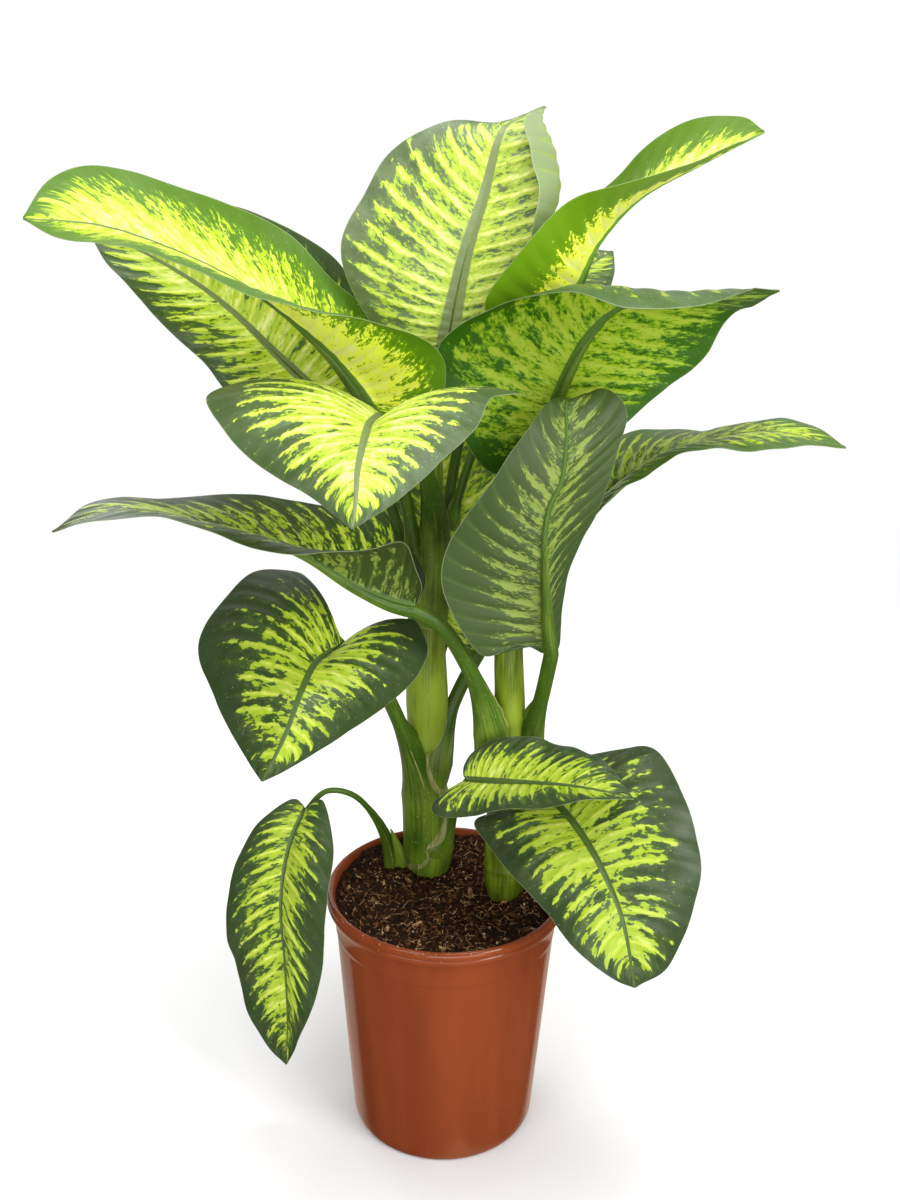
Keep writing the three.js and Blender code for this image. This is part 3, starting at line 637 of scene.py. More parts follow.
# Strewn pieces, in metres: ground, body and finish, then the inputs named below, and the seed.
# The reaches are distances from the pot's axis, and Size Spread is a share of the size.
STREWN = {
    "crumbs_small": ("peat", "crumb", "crumb_dark", 230000.0, 0.0026, 0.7, 1.5, 0.0, 0.097, 3),
    "crumbs_large": ("peat", "chip", "crumb_brown", 15000.0, 0.0034, 0.7, 1.8, 0.0, 0.0955, 5),
    "chips": ("peat", "chip", "fibre_tan", 1000.0, 0.0040, 0.7, 2.4, 0.0, 0.093, 7),
    "fibres": ("peat", "fibre", "fibre_tan", 36000.0, 0.00068, 0.6, 1.0, 0.0, 0.093, 9),
    "grit": ("peat", "chip", "grit_white", 2600.0, 0.0028, 0.8, 1.3, 0.0, 0.096, 13),
    "rim_crumbs": ("pot", "chip", "fibre_tan", 18000.0, 0.0013, 0.7, 1.6, 0.1005, 0.106, 17),
}
STREW_INPUTS = [
    "Count per Square Metre",
    "Size",
    "Size Spread",
    "Stretch",
    "Inner Reach",
    "Outer Reach",
]

# The camera, fitted to the photograph of the pot
CAMERA_PLACE = [0, -928.5, 806.5]
CAMERA_PITCH = math.radians(18.55)
CAMERA_ROLL = 0.015
CAMERA_LENS = 36
CAMERA_SENSOR = 36
CAMERA_CLIP = (0.05, 50)

# Lights, in metres: place, the point that each looks at, width and height, and power
LIGHTS = {
    "key_left": ((-1.4, -1.9, 2.3), (0, 0, 0.45), (1.4, 1.4), 20),
    "key_right": ((1.9, -1.6, 1.8), (0, 0, 0.4), (1.2, 1.4), 50),
    "front_low": ((0.4, -2.2, 0.55), (0, 0, 0.6), (2.0, 0.7), 24),
    "top": ((0, 0.1, 2.6), (0, 0, 0.4), (1.6, 1.6), 44),
    "back_left": ((-1.3, 1.8, 1.6), (0, 0, 0.5), (1.2, 1.4), 10),
    "backdrop": ((0, 1.9, 1.4), (0, 0.2, 0.5), (3.2, 2.4), 16),
}

# The pale surroundings: their strength to the camera, as light and in gloss
SURROUND = (1.0, 1.0, 1.0)
SURROUND_STRENGTH = 1.02
SURROUND_LIGHT = 0.4
SURROUND_GLOSS = 0.12

# The floor in metres: its radius and where it fades, then the glow that it gives off only to gloss,
# a painted light for the reflections on the pot: dim in front, and warm and brighter behind two
# lines that rise from the middle to each side
FLOOR_SIDES = 96
FLOOR_RADIUS = 25
FLOOR_ROUGH = 0.9
FLOOR_FADE = (0.9, 2.6)
FLOOR_GLOSS = 0.04
BEHIND_GLOSS = 0.62
GLOSS_GLOW_COLOR = (1.0, 0.82, 0.66)
BRIGHT_SLOPES = [0.587, 1.17]
BRIGHT_STARTS = [-0.098, -0.138]
BRIGHT_BLUR = 0.02


class Curve:
    """A smooth curve through points, which is read by share of its length."""

    def __init__(self, points):
        p = np.array(points, float)
        self.knots = np.vstack([2 * p[0] - p[1], p, 2 * p[-1] - p[-2]])
        self.spans = len(p) - 1
        self.track = self.raw(np.linspace(0, 1, 60 * self.spans + 1))
        steps = np.linalg.norm(np.diff(self.track, axis=0), axis=1)
        self.reach = np.concatenate([[0], np.cumsum(steps)])
        self.length = self.reach[-1]

    def raw(self, t):
        """Points at shares of the number of spans."""
        t = np.clip(np.asarray(t, float), 0, 1) * self.spans
        i = np.minimum(t.astype(int), self.spans - 1)
        w = (t - i)[:, None]
        p0, p1, p2, p3 = (self.knots[i + k] for k in range(4))
        m1, m2 = (p2 - p0) / 2, (p3 - p1) / 2
        c2 = 3 * (p2 - p1) - 2 * m1 - m2
        c3 = 2 * (p1 - p2) + m1 + m2
        return p1 + w * (m1 + w * (c2 + w * c3))

    def at(self, share):
        """Points at shares of the length."""
        place = np.clip(share, 0, 1) * self.length
        return np.stack([np.interp(place, self.reach, self.track[:, k]) for k in range(3)], -1)

    def along(self, share, step=0.002):
        """Directions at shares of the length."""
        return unit(self.at(np.minimum(share + step, 1)) - self.at(np.maximum(share - step, 0)))


def unit(v):
    """Vectors of length one."""
    return v / np.maximum(np.linalg.norm(v, axis=-1, keepdims=True), 1e-9)


def smooth_step(x):
    """A soft ramp from 0 to 1 between 0 and 1."""
    x = np.clip(x, 0, 1)
    return x * x * (3 - 2 * x)


def hump(x):
    """A bell that is 1 at 0."""
    return np.exp(-(x**2))


def smooth_values(values, share):
    """A smooth run through values, read at shares of its spans."""
    return Curve([[i, value, 0] for i, value in enumerate(values)]).raw(share)[:, 1]


def spread(values, columns):
    """Values of rows, the same in every column."""
    return np.repeat(values[:, None], columns, 1)


class Leaf:
    """The middle sheet of a leaf, as the part's source makes it."""

    def __init__(self, data):
        self.data = data
        base, tip = data["rib"][0], data["rib"][-1]
        self.rib = Curve(data["rib"])
        self.margins = [Curve([base, *data[side], tip]) for side in ("left", "right")]

    def reach(self, u, side):
        """How far the margin is from the rib at shares u, on side 0 or 1."""
        return np.linalg.norm(self.margins[side].at(u) - self.rib.at(u**VEIN_SWEEP), axis=-1)

    def half(self, u, out, side):
        """Points of one half: u and out are arrays of one shape."""
        start = self.rib.at(u**VEIN_SWEEP)
        across = self.margins[side].at(u) - start
        reach = np.linalg.norm(across, axis=-1, keepdims=True)
        up = unit(np.cross(across, self.rib.along(u**VEIN_SWEEP))) * (1 if side else -1)
        turn = 2 * np.pi * WAVES * u + (0 if side else WAVE_SHIFT)
        wave = WAVE_HEIGHT * np.sin(turn) * np.sin(np.pi * u)
        arch = smooth_values(self.data["arch"][side], u.ravel()).reshape(u.shape)
        bulge = arch * reach[..., 0] * 4 * out * (1 - out)
        point = start + across * out[..., None] + up * (bulge + wave * out**2)[..., None]
        for name, low, high, shift in self.data.get("lips", []):
            if name == ("left", "right")[side]:
                share = np.clip((u - low) / (high - low), 0, 1)
                rise = np.maximum((out - LIP_START) / (1 - LIP_START), 0) ** 2
                point += (rise * np.sin(np.pi * share) ** 0.7)[..., None] * np.array(shift)
        return point

    def on_rib(self, u):
        """A point of the rib at share u of the margin."""
        return self.half(np.array([u]), np.array([0.0]), 1)[0]

    def facing(self, u):
        """Where the upper side looks on the rib at share u."""
        sides = [self.half(np.array([u]), np.array([0.3]), side)[0] for side in (0, 1)]
        along = self.on_rib(u + 0.05) - self.on_rib(u - 0.05)
        return unit(np.cross(sides[1] - sides[0], along))


def link(piece):
    """Put a piece in the scene."""
    bpy.context.scene.collection.objects.link(piece)
    return piece


def make_piece(name, points, faces, materials, face_material=None, attributes=None):
    """An object at the origin from points in millimetres."""
    mesh = bpy.data.meshes.new(name)
    mesh.from_pydata((np.asarray(points) * MM).tolist(), [], [list(map(int, f)) for f in faces])
    for material in materials:
        mesh.materials.append(material)
    if face_material is not None:
        mesh.polygons.foreach_set("material_index", np.asarray(face_material, np.int32))
    for key, values in (attributes or {}).items():
        layer = mesh.attributes.new(key, "FLOAT_VECTOR", "POINT")
        layer.data.foreach_set("vector", np.asarray(values, np.float32).ravel())
    mesh.polygons.foreach_set("use_smooth", np.ones(len(mesh.polygons), bool))
    return link(bpy.data.objects.new(name, mesh))


def grid_faces(rows, columns, first=0, closed=False, flip=False):
    """Quads between the points of a grid that starts at index first."""
    j = np.arange(columns if closed else columns - 1)
    i = np.arange(rows - 1)[:, None]
    a = first + i * columns + j
    b = first + i * columns + (j + 1) % columns
    quads = np.stack([a, b, b + columns, a + columns], -1).reshape(-1, 4)
    return quads[:, ::-1] if flip else quads


def closed_faces(rings, sides, ends, first=0, flip=False):
    """Faces of a tube between rings of points, with a fan to a middle point at both ends."""
    faces = [list(f) for f in grid_faces(rings, sides, first, closed=True, flip=flip)]
    last = first + (rings - 1) * sides
    for k in range(sides):
        a, b = k, (k + 1) % sides
        if not flip:
            a, b = b, a
        faces.append([ends[0], first + a, first + b])
        faces.append([ends[1], last + b, last + a])
    return faces


def even_angles(sides):
    """Angles evenly round a circle."""
    return 2 * np.pi * np.arange(sides) / sides


def ripples(u, signed, reach, seed):
    """Small uneven waves of a blade, larger towards its margin."""
    wave = np.zeros_like(u)
    for i, j in np.ndindex(u.shape):
        side = signed[i, j]
        out = abs(side)
        across = math.copysign(HALVES_APART + out * reach[i, j] / RIPPLE_LENGTH, side)
        rise = noise.noise(Vector((u[i, j] * RIPPLES, across, seed * LEAVES_APART)))
        wave[i, j] = rise * RIPPLE_HEIGHT * out**2 * math.sin(math.pi * u[i, j]) ** 0.5
    return wave


def blade(leaf, rib_share, seed):
    """Points, faces and attributes of a blade with quilted veins and a midrib."""
    u = np.linspace(*BLADE_SPAN, BLADE_ROWS)
    halves, outs, reaches = [], [], []
    for side in (0, 1):
        reach = leaf.reach(u, side)
        inner = np.array(RIB_COLUMNS) / np.maximum(reach, 9)[:, None]
        even = np.linspace(0, 1, BLADE_COLUMNS + 1)[1:]
        outer = inner[:, -1:] + (1 - inner[:, -1:]) * np.sin(even * np.pi / 2) ** 0.9
        out = np.hstack([inner, outer])
        point = leaf.half(spread(u, out.shape[1]), out, side)
        if side == 0:
            point, out = point[:, ::-1], out[:, ::-1]
        halves.append(point)
        outs.append(out)
        reaches.append(spread(reach, out.shape[1]))

    # One grid from the left margin over the rib to the right margin
    zero = np.zeros((BLADE_ROWS, 1))
    spine = leaf.half(u[:, None], zero, 1)
    sheet = np.concatenate([halves[0], spine, halves[1]], 1)
    out = np.hstack([outs[0], zero, outs[1]])
    signed = np.hstack([-outs[0], zero, outs[1]])
    reach = np.hstack([reaches[0], zero + 1, reaches[1]])
    rows, columns = out.shape
    u = spread(u, columns)
    distance = out * reach
    vein = u - VEIN_BEND * out**2
    up = unit(np.cross(np.gradient(sheet, axis=1), np.gradient(sheet, axis=0)))
    sheet = sheet + up * ripples(u, signed, reach, seed)[..., None]

    # Relief of the upper and the lower side
    between = np.sin(np.pi * np.clip(out, 0, 1)) ** 0.6
    quilt = QUILT * np.cos(2 * np.pi * LATERALS * vein) * between
    thick = BLADE_EDGE + (BLADE_MIDDLE - BLADE_EDGE) * (1 - out) ** 0.5
    rib_width = RIB_NARROW + RIB_WIDEN * rib_share * (1 - u) ** 0.8
    from_rib = distance / rib_width
    ridge = RIB_DEPTH * (1 - u) ** 0.7 * np.sqrt(np.clip(1 - from_rib**2, 0, 1))
    groove = GROOVE * (1 - u) ** 0.5 * np.exp(-((from_rib / GROOVE_WIDTH) ** 4))
    shoulder = SHOULDER * (1 - u) ** 0.5 * hump((from_rib - SHOULDER_PLACE) / SHOULDER_WIDTH)
    top = sheet + up * (thick / 2 + quilt - groove + shoulder)[..., None]
    bottom = sheet + up * (-thick / 2 + quilt - ridge)[..., None]

    # Both sides and the edge between them
    count = rows * columns
    ring = np.concatenate([
        np.arange(columns),
        np.arange(1, rows) * columns + columns - 1,
        (rows - 1) * columns + np.arange(columns - 2, -1, -1),
        np.arange(rows - 2, 0, -1) * columns,
    ])
    after = np.roll(ring, -1)
    faces = [
        grid_faces(rows, columns),
        grid_faces(rows, columns, count, flip=True),
        np.stack([after, ring, ring + count, after + count], -1),
    ]
    place = np.stack([vein, signed, np.ones_like(out)], -1).reshape(-1, 3)
    under = place * [1, 1, 0]
    span = np.stack([vein * leaf.rib.length, distance, from_rib], -1).reshape(-1, 3)
    return (
        np.vstack([top.reshape(-1, 3), bottom.reshape(-1, 3)]),
        np.vstack(faces),
        {"leaf_place": np.vstack([place, under]), "leaf_span": np.vstack([span, span])},
    )


def carried_frames(curve, share, last_up):
    """Two directions square to a curve at each share, carried back from its end without twist."""
    along = curve.along(share)
    ups = np.zeros_like(along)
    up = last_up
    for i in range(len(share) - 1, -1, -1):
        up = unit(up - along[i] * np.dot(up, along[i]))
        ups[i] = up
    return ups, np.cross(along, ups)


def tube(centres, ups, across, radii, angle):
    """Points and faces of a closed tube. radii has one row for each ring."""
    rim = np.cos(angle)[None, :, None] * ups[:, None]
    rim = rim + np.sin(angle)[None, :, None] * across[:, None]
    points = centres[:, None] + rim * radii[..., None]
    rings, sides = len(centres), len(angle)
    points = np.vstack([points.reshape(-1, 3), centres[:1], centres[-1:]])
    return points, closed_faces(rings, sides, [rings * sides, rings * sides + 1], flip=True)


def tube_marks(along, angle, clasp, gap, border, far, far_ends):
    """Attributes of a tube: place along and round it and its clasp, then gap, border and reach."""
    rings, sides = len(along), len(angle)
    around = np.tile(angle / np.pi, (rings, 1))
    place = np.stack([spread(along, sides), around, spread(clasp, sides)], -1).reshape(-1, 3)
    ends = [[along[0], 0, clasp[0]], [along[-1], 0, clasp[-1]]]
    marks = [gap, np.append(border, [0, 0]), np.append(spread(far, sides), far_ends)]
    return {"stalk_place": np.vstack([place, ends]), "stalk_edge": np.stack(marks, -1)}


def stalk_angles():
    """Angles round a petiole, closer together at its two wings."""
    close = [sign * WING_ANGLE + shift for sign in (-1, 1) for shift in WING_COLUMNS]
    plain = np.linspace(-np.pi, np.pi, STALK_SIDES, endpoint=False)
    apart = [a for a in plain if abs(abs(a) - WING_ANGLE) > 0.2]
    return np.sort(np.concatenate([apart, close]))


class Petiole:
    """The middle line and the radius of a petiole that runs on under its blade as a rod."""

    def __init__(self, leaf, foot):
        data = leaf.data
        lower, upper = data["stalk"]
        run = [*foot["start"], *data["petiole"]]
        run.append(leaf.on_rib(0.0) - leaf.facing(0.1) * upper * STALK_SINK)
        stem = Curve(run).length
        for u in ROD_REACH:
            rod = upper * (1 - u / ROD_END) ** ROD_TAPER
            run.append(leaf.on_rib(u) - leaf.facing(u) * (rod + ROD_GAP))
        curve = Curve(run)
        share = np.linspace(0, 1, STALK_RINGS) ** 1.1
        place = share * curve.length
        sheath_radius, sheath_length = data["sheath"]
        above = (place - foot["deep"]) / sheath_length
        self.clasp = np.clip((1 - above) / (1 - CLASP_SHARE), 0, 1) ** 1.3
        plain = lower + (upper - lower) * np.clip(place / stem, 0, 1)
        rod = np.clip((place - stem) / (curve.length - stem), 0, 1)
        plain = plain * (1 - rod) ** ROD_TAPER + ROD_TIP * rod
        grown = smooth_step(place / foot["length"])
        widen = foot["narrow"] + (1 - foot["narrow"]) * grown
        self.radius = (plain + (sheath_radius - lower) * self.clasp) * widen
        self.place = place
        self.stem = stem
        self.wing = foot["wing"]
        self.centres = curve.at(share)
        self.ups, self.across = carried_frames(curve, share, leaf.facing(0.3))


def gap_to(points, others):
    """How far points lie outside the nearest of other round bodies."""
    batch = 2000
    best = np.full(len(points), 99.0)
    for centres, radii in others:
        for first in range(0, len(points), batch):
            some = points[first:first + batch]
            away = np.linalg.norm(some[:, None] - centres[None], axis=-1) - radii[None]
            best[first:first + batch] = np.minimum(best[first:first + batch], away.min(1))
    return best


def petiole(stalk, others, seed):
    """Points, faces and attributes of a petiole with winged sheath."""
    angle = stalk_angles()
    share = stalk.place / stalk.stem
    clasp = stalk.clasp
    fade = smooth_step((1 - share) * 4)[:, None]
    groove = 1 - STALK_GROOVE * fade * hump(angle / STALK_GROOVE_ANGLE)[None]
    wing = 4 * clasp * (1 - clasp) + 0.2 * (1 - clasp) * np.clip(1 - share / 0.7, 0, 1)
    ragged = [noise.noise(Vector((place / 7, seed, 0))) for place in stalk.place]
    wing = wing * (1 + WING_RAGGED * np.array(ragged)) * stalk.wing
    edge = hump((np.abs(angle) - WING_ANGLE) / WING_THIN)[None]
    radii = stalk.radius[:, None] * groove + WING * wing[:, None] * edge
    points, faces = tube(stalk.centres, stalk.ups, stalk.across, radii, angle)
    papery = edge * np.clip(wing, 0, 1)[:, None]
    gap = gap_to(points, others)
    return points, faces, tube_marks(
        stalk.place, angle, clasp, gap, papery, np.clip(share, 0, 2), [0, 2])


def bud():
    """Points, faces and attributes of the side shoot's bud: a new sheath, rolled and pointed."""
    curve = Curve(BUD_LINE)
    share = np.linspace(0, 1, BUD_RINGS)
    radius = smooth_values(BUD_RADII, share)
    angle = even_angles(BUD_SIDES)
    ups, across = carried_frames(curve, share, np.array([0, -1.0, 0]))
    fold = np.sin(angle / 2 - FOLD_ANGLE)
    dent = BUD_OVAL * np.cos(2 * angle)
    radii = radius[:, None] * (1 - dent - FOLD_DEPTH * hump(fold / FOLD_WIDTH))
    points, faces = tube(curve.at(share), ups, across, radii, angle)
    border = np.tile(hump(fold / FOLD_BORDER), (BUD_RINGS, 1))
    apart = np.full(len(points), 9)
    ones = np.ones(BUD_RINGS)
    return points, faces, tube_marks(
        share * curve.length, angle, ones, apart, border, 1.5 * ones, [1.5, 1.5])


def join_parts(parts):
    """Points, faces, face materials and attributes of several parts in one."""
    points, faces, slots, attributes = [], [], [], {}
    keys = sorted({key for (_, _, values), _ in parts for key in values})
    first = 0
    for (part_points, part_faces, values), slot in parts:
        points.append(part_points)
        faces += [[first + int(i) for i in face] for face in part_faces]
        slots += [slot] * len(part_faces)
        for key in keys:
            blank = np.zeros((len(part_points), 3))
            attributes.setdefault(key, []).append(values.get(key, blank))
        first += len(part_points)
    joined = {key: np.vstack(values) for key, values in attributes.items()}
    return np.vstack(points), faces, slots, joined


def cane_rings(line, step):
    """Middle points and radii along a cane."""
    data = np.array(line, float)
    z = np.arange(data[0, 2], data[-1, 2], step)
    share = np.interp(z, data[:, 2], np.linspace(0, 1, len(data)))
    centres = Curve(data[:, :3]).raw(share)
    centres[:, 2] = z
    return centres, smooth_values(data[:, 3], share)


def cane(name, data, material):
    """A cane with a low ring at each leaf scar, narrower where it stands in the soil."""
    centres, radius = cane_rings(data["line"], CANE_STEP)
    z = centres[:, 2]
    for scar in data["scars"]:
        rise = SCAR_RISE * hump((z - scar) / SCAR_RISE_REACH)
        dip = SCAR_DIP * hump((z - scar + SCAR_DIP_DROP) / SCAR_DIP_REACH)
        radius = radius + rise - dip
    radius = radius * (1 - data["foot"] * hump((z - FOOT_LEVEL) / FOOT_REACH))
    angle = even_angles(CANE_SIDES)
    circle = [(math.cos(a) * UNEVEN_TURNS, math.sin(a) * UNEVEN_TURNS) for a in angle]
    levels = z / UNEVEN_LENGTH
    wobble = [[noise.noise(Vector((x, y, level))) for x, y in circle] for level in levels]
    radii = radius[:, None] * (1 + CANE_UNEVEN * np.array(wobble)) - CANE_INSET
    ups = np.repeat([[1.0, 0, 0]], len(z), 0)
    across = np.repeat([[0, 1.0, 0]], len(z), 0)
    points, faces = tube(centres, ups, across, radii, angle)
    return make_piece(name, points, faces, [material])


class Nodes:
    """Short ways to add nodes to one tree."""

    def __init__(self, tree):
        self.tree = tree

    def feed(self, socket, value):
        """A value, a colour or another socket for a socket."""
        if isinstance(value, bpy.types.NodeSocket):
            self.tree.links.new(value, socket)
        elif socket.type == "RGBA":
            socket.default_value = (*value, 1)
        else:
            socket.default_value = value

    def add(self, kind, inputs=None, **settings):
        """A node with its settings, its values and the sockets that feed it."""
        node = self.tree.nodes.new(kind)
        for key, value in settings.items():
            setattr(node, key, value)
        for key, value in (inputs or {}).items():
            self.feed(node.inputs[key], value)
        return node

    def calc(self, operation, *values):
        """The result of a Math node."""
        return self.add("ShaderNodeMath", dict(enumerate(values)), operation=operation).outputs[0]

    def times(self, first, second, *more):
        """A product, with a third value added to it where there is one."""
        return self.calc("MULTIPLY_ADD" if more else "MULTIPLY", first, second, *more)

    def less(self, first, second):
        """A difference."""
        return self.calc("SUBTRACT", first, second)

    def vector_calc(self, operation, *values):
        """A Vector Math node."""
        return self.add("ShaderNodeVectorMath", dict(enumerate(values)), operation=operation)

    def ramp(self, value, low, high, to_low=0.0, to_high=1.0):
        """A soft ramp of a value from low to high."""
        inputs = {"Value": value, "From Min": low, "From Max": high}
        inputs.update({"To Min": to_low, "To Max": to_high})
        node = self.add("ShaderNodeMapRange", inputs, interpolation_type="SMOOTHSTEP")
        return node.outputs["Result"]

    def mix(self, factor, first, second):
        """Two colours mixed."""
        node = self.add("ShaderNodeMix", {0: factor, 6: first, 7: second}, data_type="RGBA")
        return node.outputs[2]

    def speckle(self, vector, scale, detail=2.0, rough=0.5, warp=0.0):
        """The value of a noise texture."""
        inputs = {"Vector": vector, "Scale": scale, "Detail": detail, "Roughness": rough}
        return self.add("ShaderNodeTexNoise", {**inputs, "Distortion": warp}).outputs[0]

    def vector(self, x, y, z):
        """A vector from three values."""
        return self.add("ShaderNodeCombineXYZ", {0: x, 1: y, 2: z}).outputs[0]

    def split(self, vector):
        """The three values of a vector."""
        return self.add("ShaderNodeSeparateXYZ", {0: vector}).outputs

    def attribute(self, name):
        """The three values of a mesh's own attribute."""
        return self.split(self.add("ShaderNodeAttribute", attribute_name=name).outputs["Vector"])

    def coords(self):
        """The object's own coordinates."""
        return self.add("ShaderNodeTexCoord").outputs["Object"]


def group_nodes(name, inputs, outputs):
    """The nodes, inputs and outputs of a new shader group. A value of three numbers is a colour."""
    tree = bpy.data.node_groups.new(name, "ShaderNodeTree")
    for direction, values in (("INPUT", inputs), ("OUTPUT", outputs)):
        for key, value in values.items():
            color = isinstance(value, tuple)
            kind = "NodeSocketColor" if color else "NodeSocketFloat"
            socket = tree.interface.new_socket(key, in_out=direction, socket_type=kind)
            socket.default_value = (*value, 1) if color else value
    source = tree.nodes.new("NodeGroupInput")
    sink = tree.nodes.new("NodeGroupOutput")
    return Nodes(tree), source.outputs, sink.inputs


def make_leaf_marks():
    """Group: the colour, roughness and height of a marked blade on both its sides."""
    inputs = {
        "Seed": 0.0,
        "Core": 0.8,
        "Rim": 0.3,
        "Edge": 0.8,
        "Dust": 0.3,
        "Ladder": 0.2,
        "Fineness": 1.0,
        "Stretch": 3.0,
        "Bright": 0.5,
        "Lean": 0.0,
        "Bare Base": 0.4,
        "Glow": 0.0,
        "Dark Green": DARK_GREEN,
        "Mid Green": MID_GREEN,
        "Bright Green": BRIGHT_GREEN,
        "Lit Green": LIT_GREEN,
        "Under Green": UNDER_GREEN,
        "Lit Yellow": LIT_YELLOW,
        "Rib Above": RIB_TOP,
        "Rib Below": RIB_UNDER,
    }
    outputs = {"Color": BLACK, "Roughness": 0.5, "Height": 0.0}
    n, given, result = group_nodes("leaf marks", inputs, outputs)
    vein, signed, upper = n.attribute("leaf_place")
    along, distance, rib_place = n.attribute("leaf_span")
    out = n.calc("ABSOLUTE", signed)
    side = n.calc("SIGN", signed)
    depth = n.times(side, 3.7, given["Seed"])
    under = n.less(1.0, upper)
    fine_along = n.times(along, given["Fineness"])
    fine_out = n.calc("DIVIDE", n.times(distance, given["Fineness"]), given["Stretch"])

    def marks_of(across, outward, detail, warp):
        """Noise that is stretched along the veins."""
        place = n.vector(n.times(fine_along, across), n.times(fine_out, outward), depth)
        return n.less(n.speckle(place, 1.0, detail, 0.6, warp), 0.5)

    # Fingers that run out along the veins, finer ones on them, and patches
    fingers = marks_of(*FINGERS)
    fine = marks_of(*FINE_FINGERS)
    patches = marks_of(*PATCHES)

    # How yellow a place is: most near the rib, least at the margin, the base and the tip
    reach = n.calc("DIVIDE", out, given["Edge"])
    fall = n.less(given["Rim"], given["Core"])
    field = n.times(n.ramp(reach, 0.25, 1.0), fall, given["Core"])
    field = n.less(field, n.ramp(reach, 0.9, 1.06, 0.0, 1.0))
    field = n.less(field, n.ramp(vein, 0.85, 1.0, 0.0, 0.7))
    field = n.less(field, n.times(n.ramp(vein, 0.18, 0.0), given["Bare Base"]))
    field = n.times(side, given["Lean"], field)
    field = n.times(fingers, FINGER_WEIGHT, field)
    field = n.times(fine, FINGER_WEIGHT, field)
    field = n.times(patches, PATCH_WEIGHT, field)

    # The rungs of the ladder follow the lateral veins
    bend = n.times(vein, 2 * math.pi * LATERALS)
    turn = n.times(patches, 5.0, bend)
    peaks = n.calc("POWER", n.times(n.calc("COSINE", turn), 0.5, 0.5), 2.5)
    rungs = n.times(n.times(peaks, 2.2, -0.8), n.ramp(distance, 4.0, 18.0))
    field = n.times(rungs, given["Ladder"], field)
    yellow = n.ramp(field, YELLOW_FROM, YELLOW_FULL)
    halo = n.ramp(field, -0.1, 0.45)

    # Upper side: green and pale, with a film of dust that is partly a painted grey sheen, and dots
    # on them
    green = n.mix(n.times(halo, 0.7), given["Dark Green"], given["Mid Green"])
    # Paler along the lateral veins: partly their own pale colour, partly a painted highlight on
    # their ridges
    lines = n.ramp(n.calc("COSINE", bend), 0.6, 1.0)
    strong = n.times(lines, 0.55, n.ramp(field, 0.7, 2.0, 0.0, 0.65))
    strong = n.times(strong, given["Bright"])
    creamy = n.times(n.ramp(field, 1.2, 2.2, 0.0, 0.8), given["Bright"])
    pale = n.mix(creamy, n.mix(strong, given["Bright Green"], PALE_YELLOW), CREAM)
    film = n.speckle(n.coords(), FILM_SCALE, 5.0, 0.65)
    dust_sheen_share = n.times(n.ramp(film, 0.25, 0.85, 0.2, 0.75), given["Dust"])
    green = n.mix(dust_sheen_share, green, DUST_SHEEN_GREY)
    dots = n.speckle(n.coords(), DOT_SCALE, 2.0, 0.7)
    dotted = n.times(given["Dust"], 0.8, 0.3)
    green = n.mix(n.times(n.ramp(dots, 0.66, 0.74), dotted), green, PALE_DOT)
    pale = n.mix(n.times(dust_sheen_share, 0.35), pale, DUST_SHEEN_GREY)
    top = n.mix(yellow, green, pale)

    # Underside: greyer, or lit through
    grey = n.mix(n.times(yellow, 0.8), given["Under Green"], UNDER_PALE)
    lit = n.mix(halo, given["Lit Green"], LIT_MID)
    lit_yellow = n.mix(creamy, n.mix(strong, given["Lit Yellow"], PALE_YELLOW), CREAM)
    lit = n.mix(yellow, lit, lit_yellow)
    below = n.mix(given["Glow"], grey, lit)
    blade_color = n.mix(under, top, below)

    # The lateral veins on the underside, the midrib and the pale margin line
    opaque = n.times(given["Glow"], -0.8, 1.0)
    veins = n.times(n.times(lines, under), n.ramp(out, 0.2, 0.8, 0.35, 0.1))
    veined = n.mix(n.times(veins, opaque), blade_color, VEIN_GREEN)
    rib_color = n.mix(under, given["Rib Above"], given["Rib Below"])
    ribbed = n.mix(n.ramp(rib_place, 1.12, 0.9), veined, rib_color)
    margin = n.ramp(out, 0.99, 1.0)
    n.feed(result["Color"], n.mix(n.times(margin, 0.45), ribbed, MARGIN_PALE))

    # Roughness, and the height of veins, grain, marks and film
    dull = n.speckle(n.coords(), DULL_SCALE)
    n.feed(result["Roughness"], n.times(dull, 0.18, n.times(under, 0.12, 0.3)))
    grain = n.speckle(n.coords(), GRAIN_SCALE, 1.0)
    height = n.times(lines, -0.5, n.times(grain, 0.25))
    height = n.times(fine, 0.5, height)
    n.feed(result["Height"], n.times(film, 0.4, height))
    return n.tree


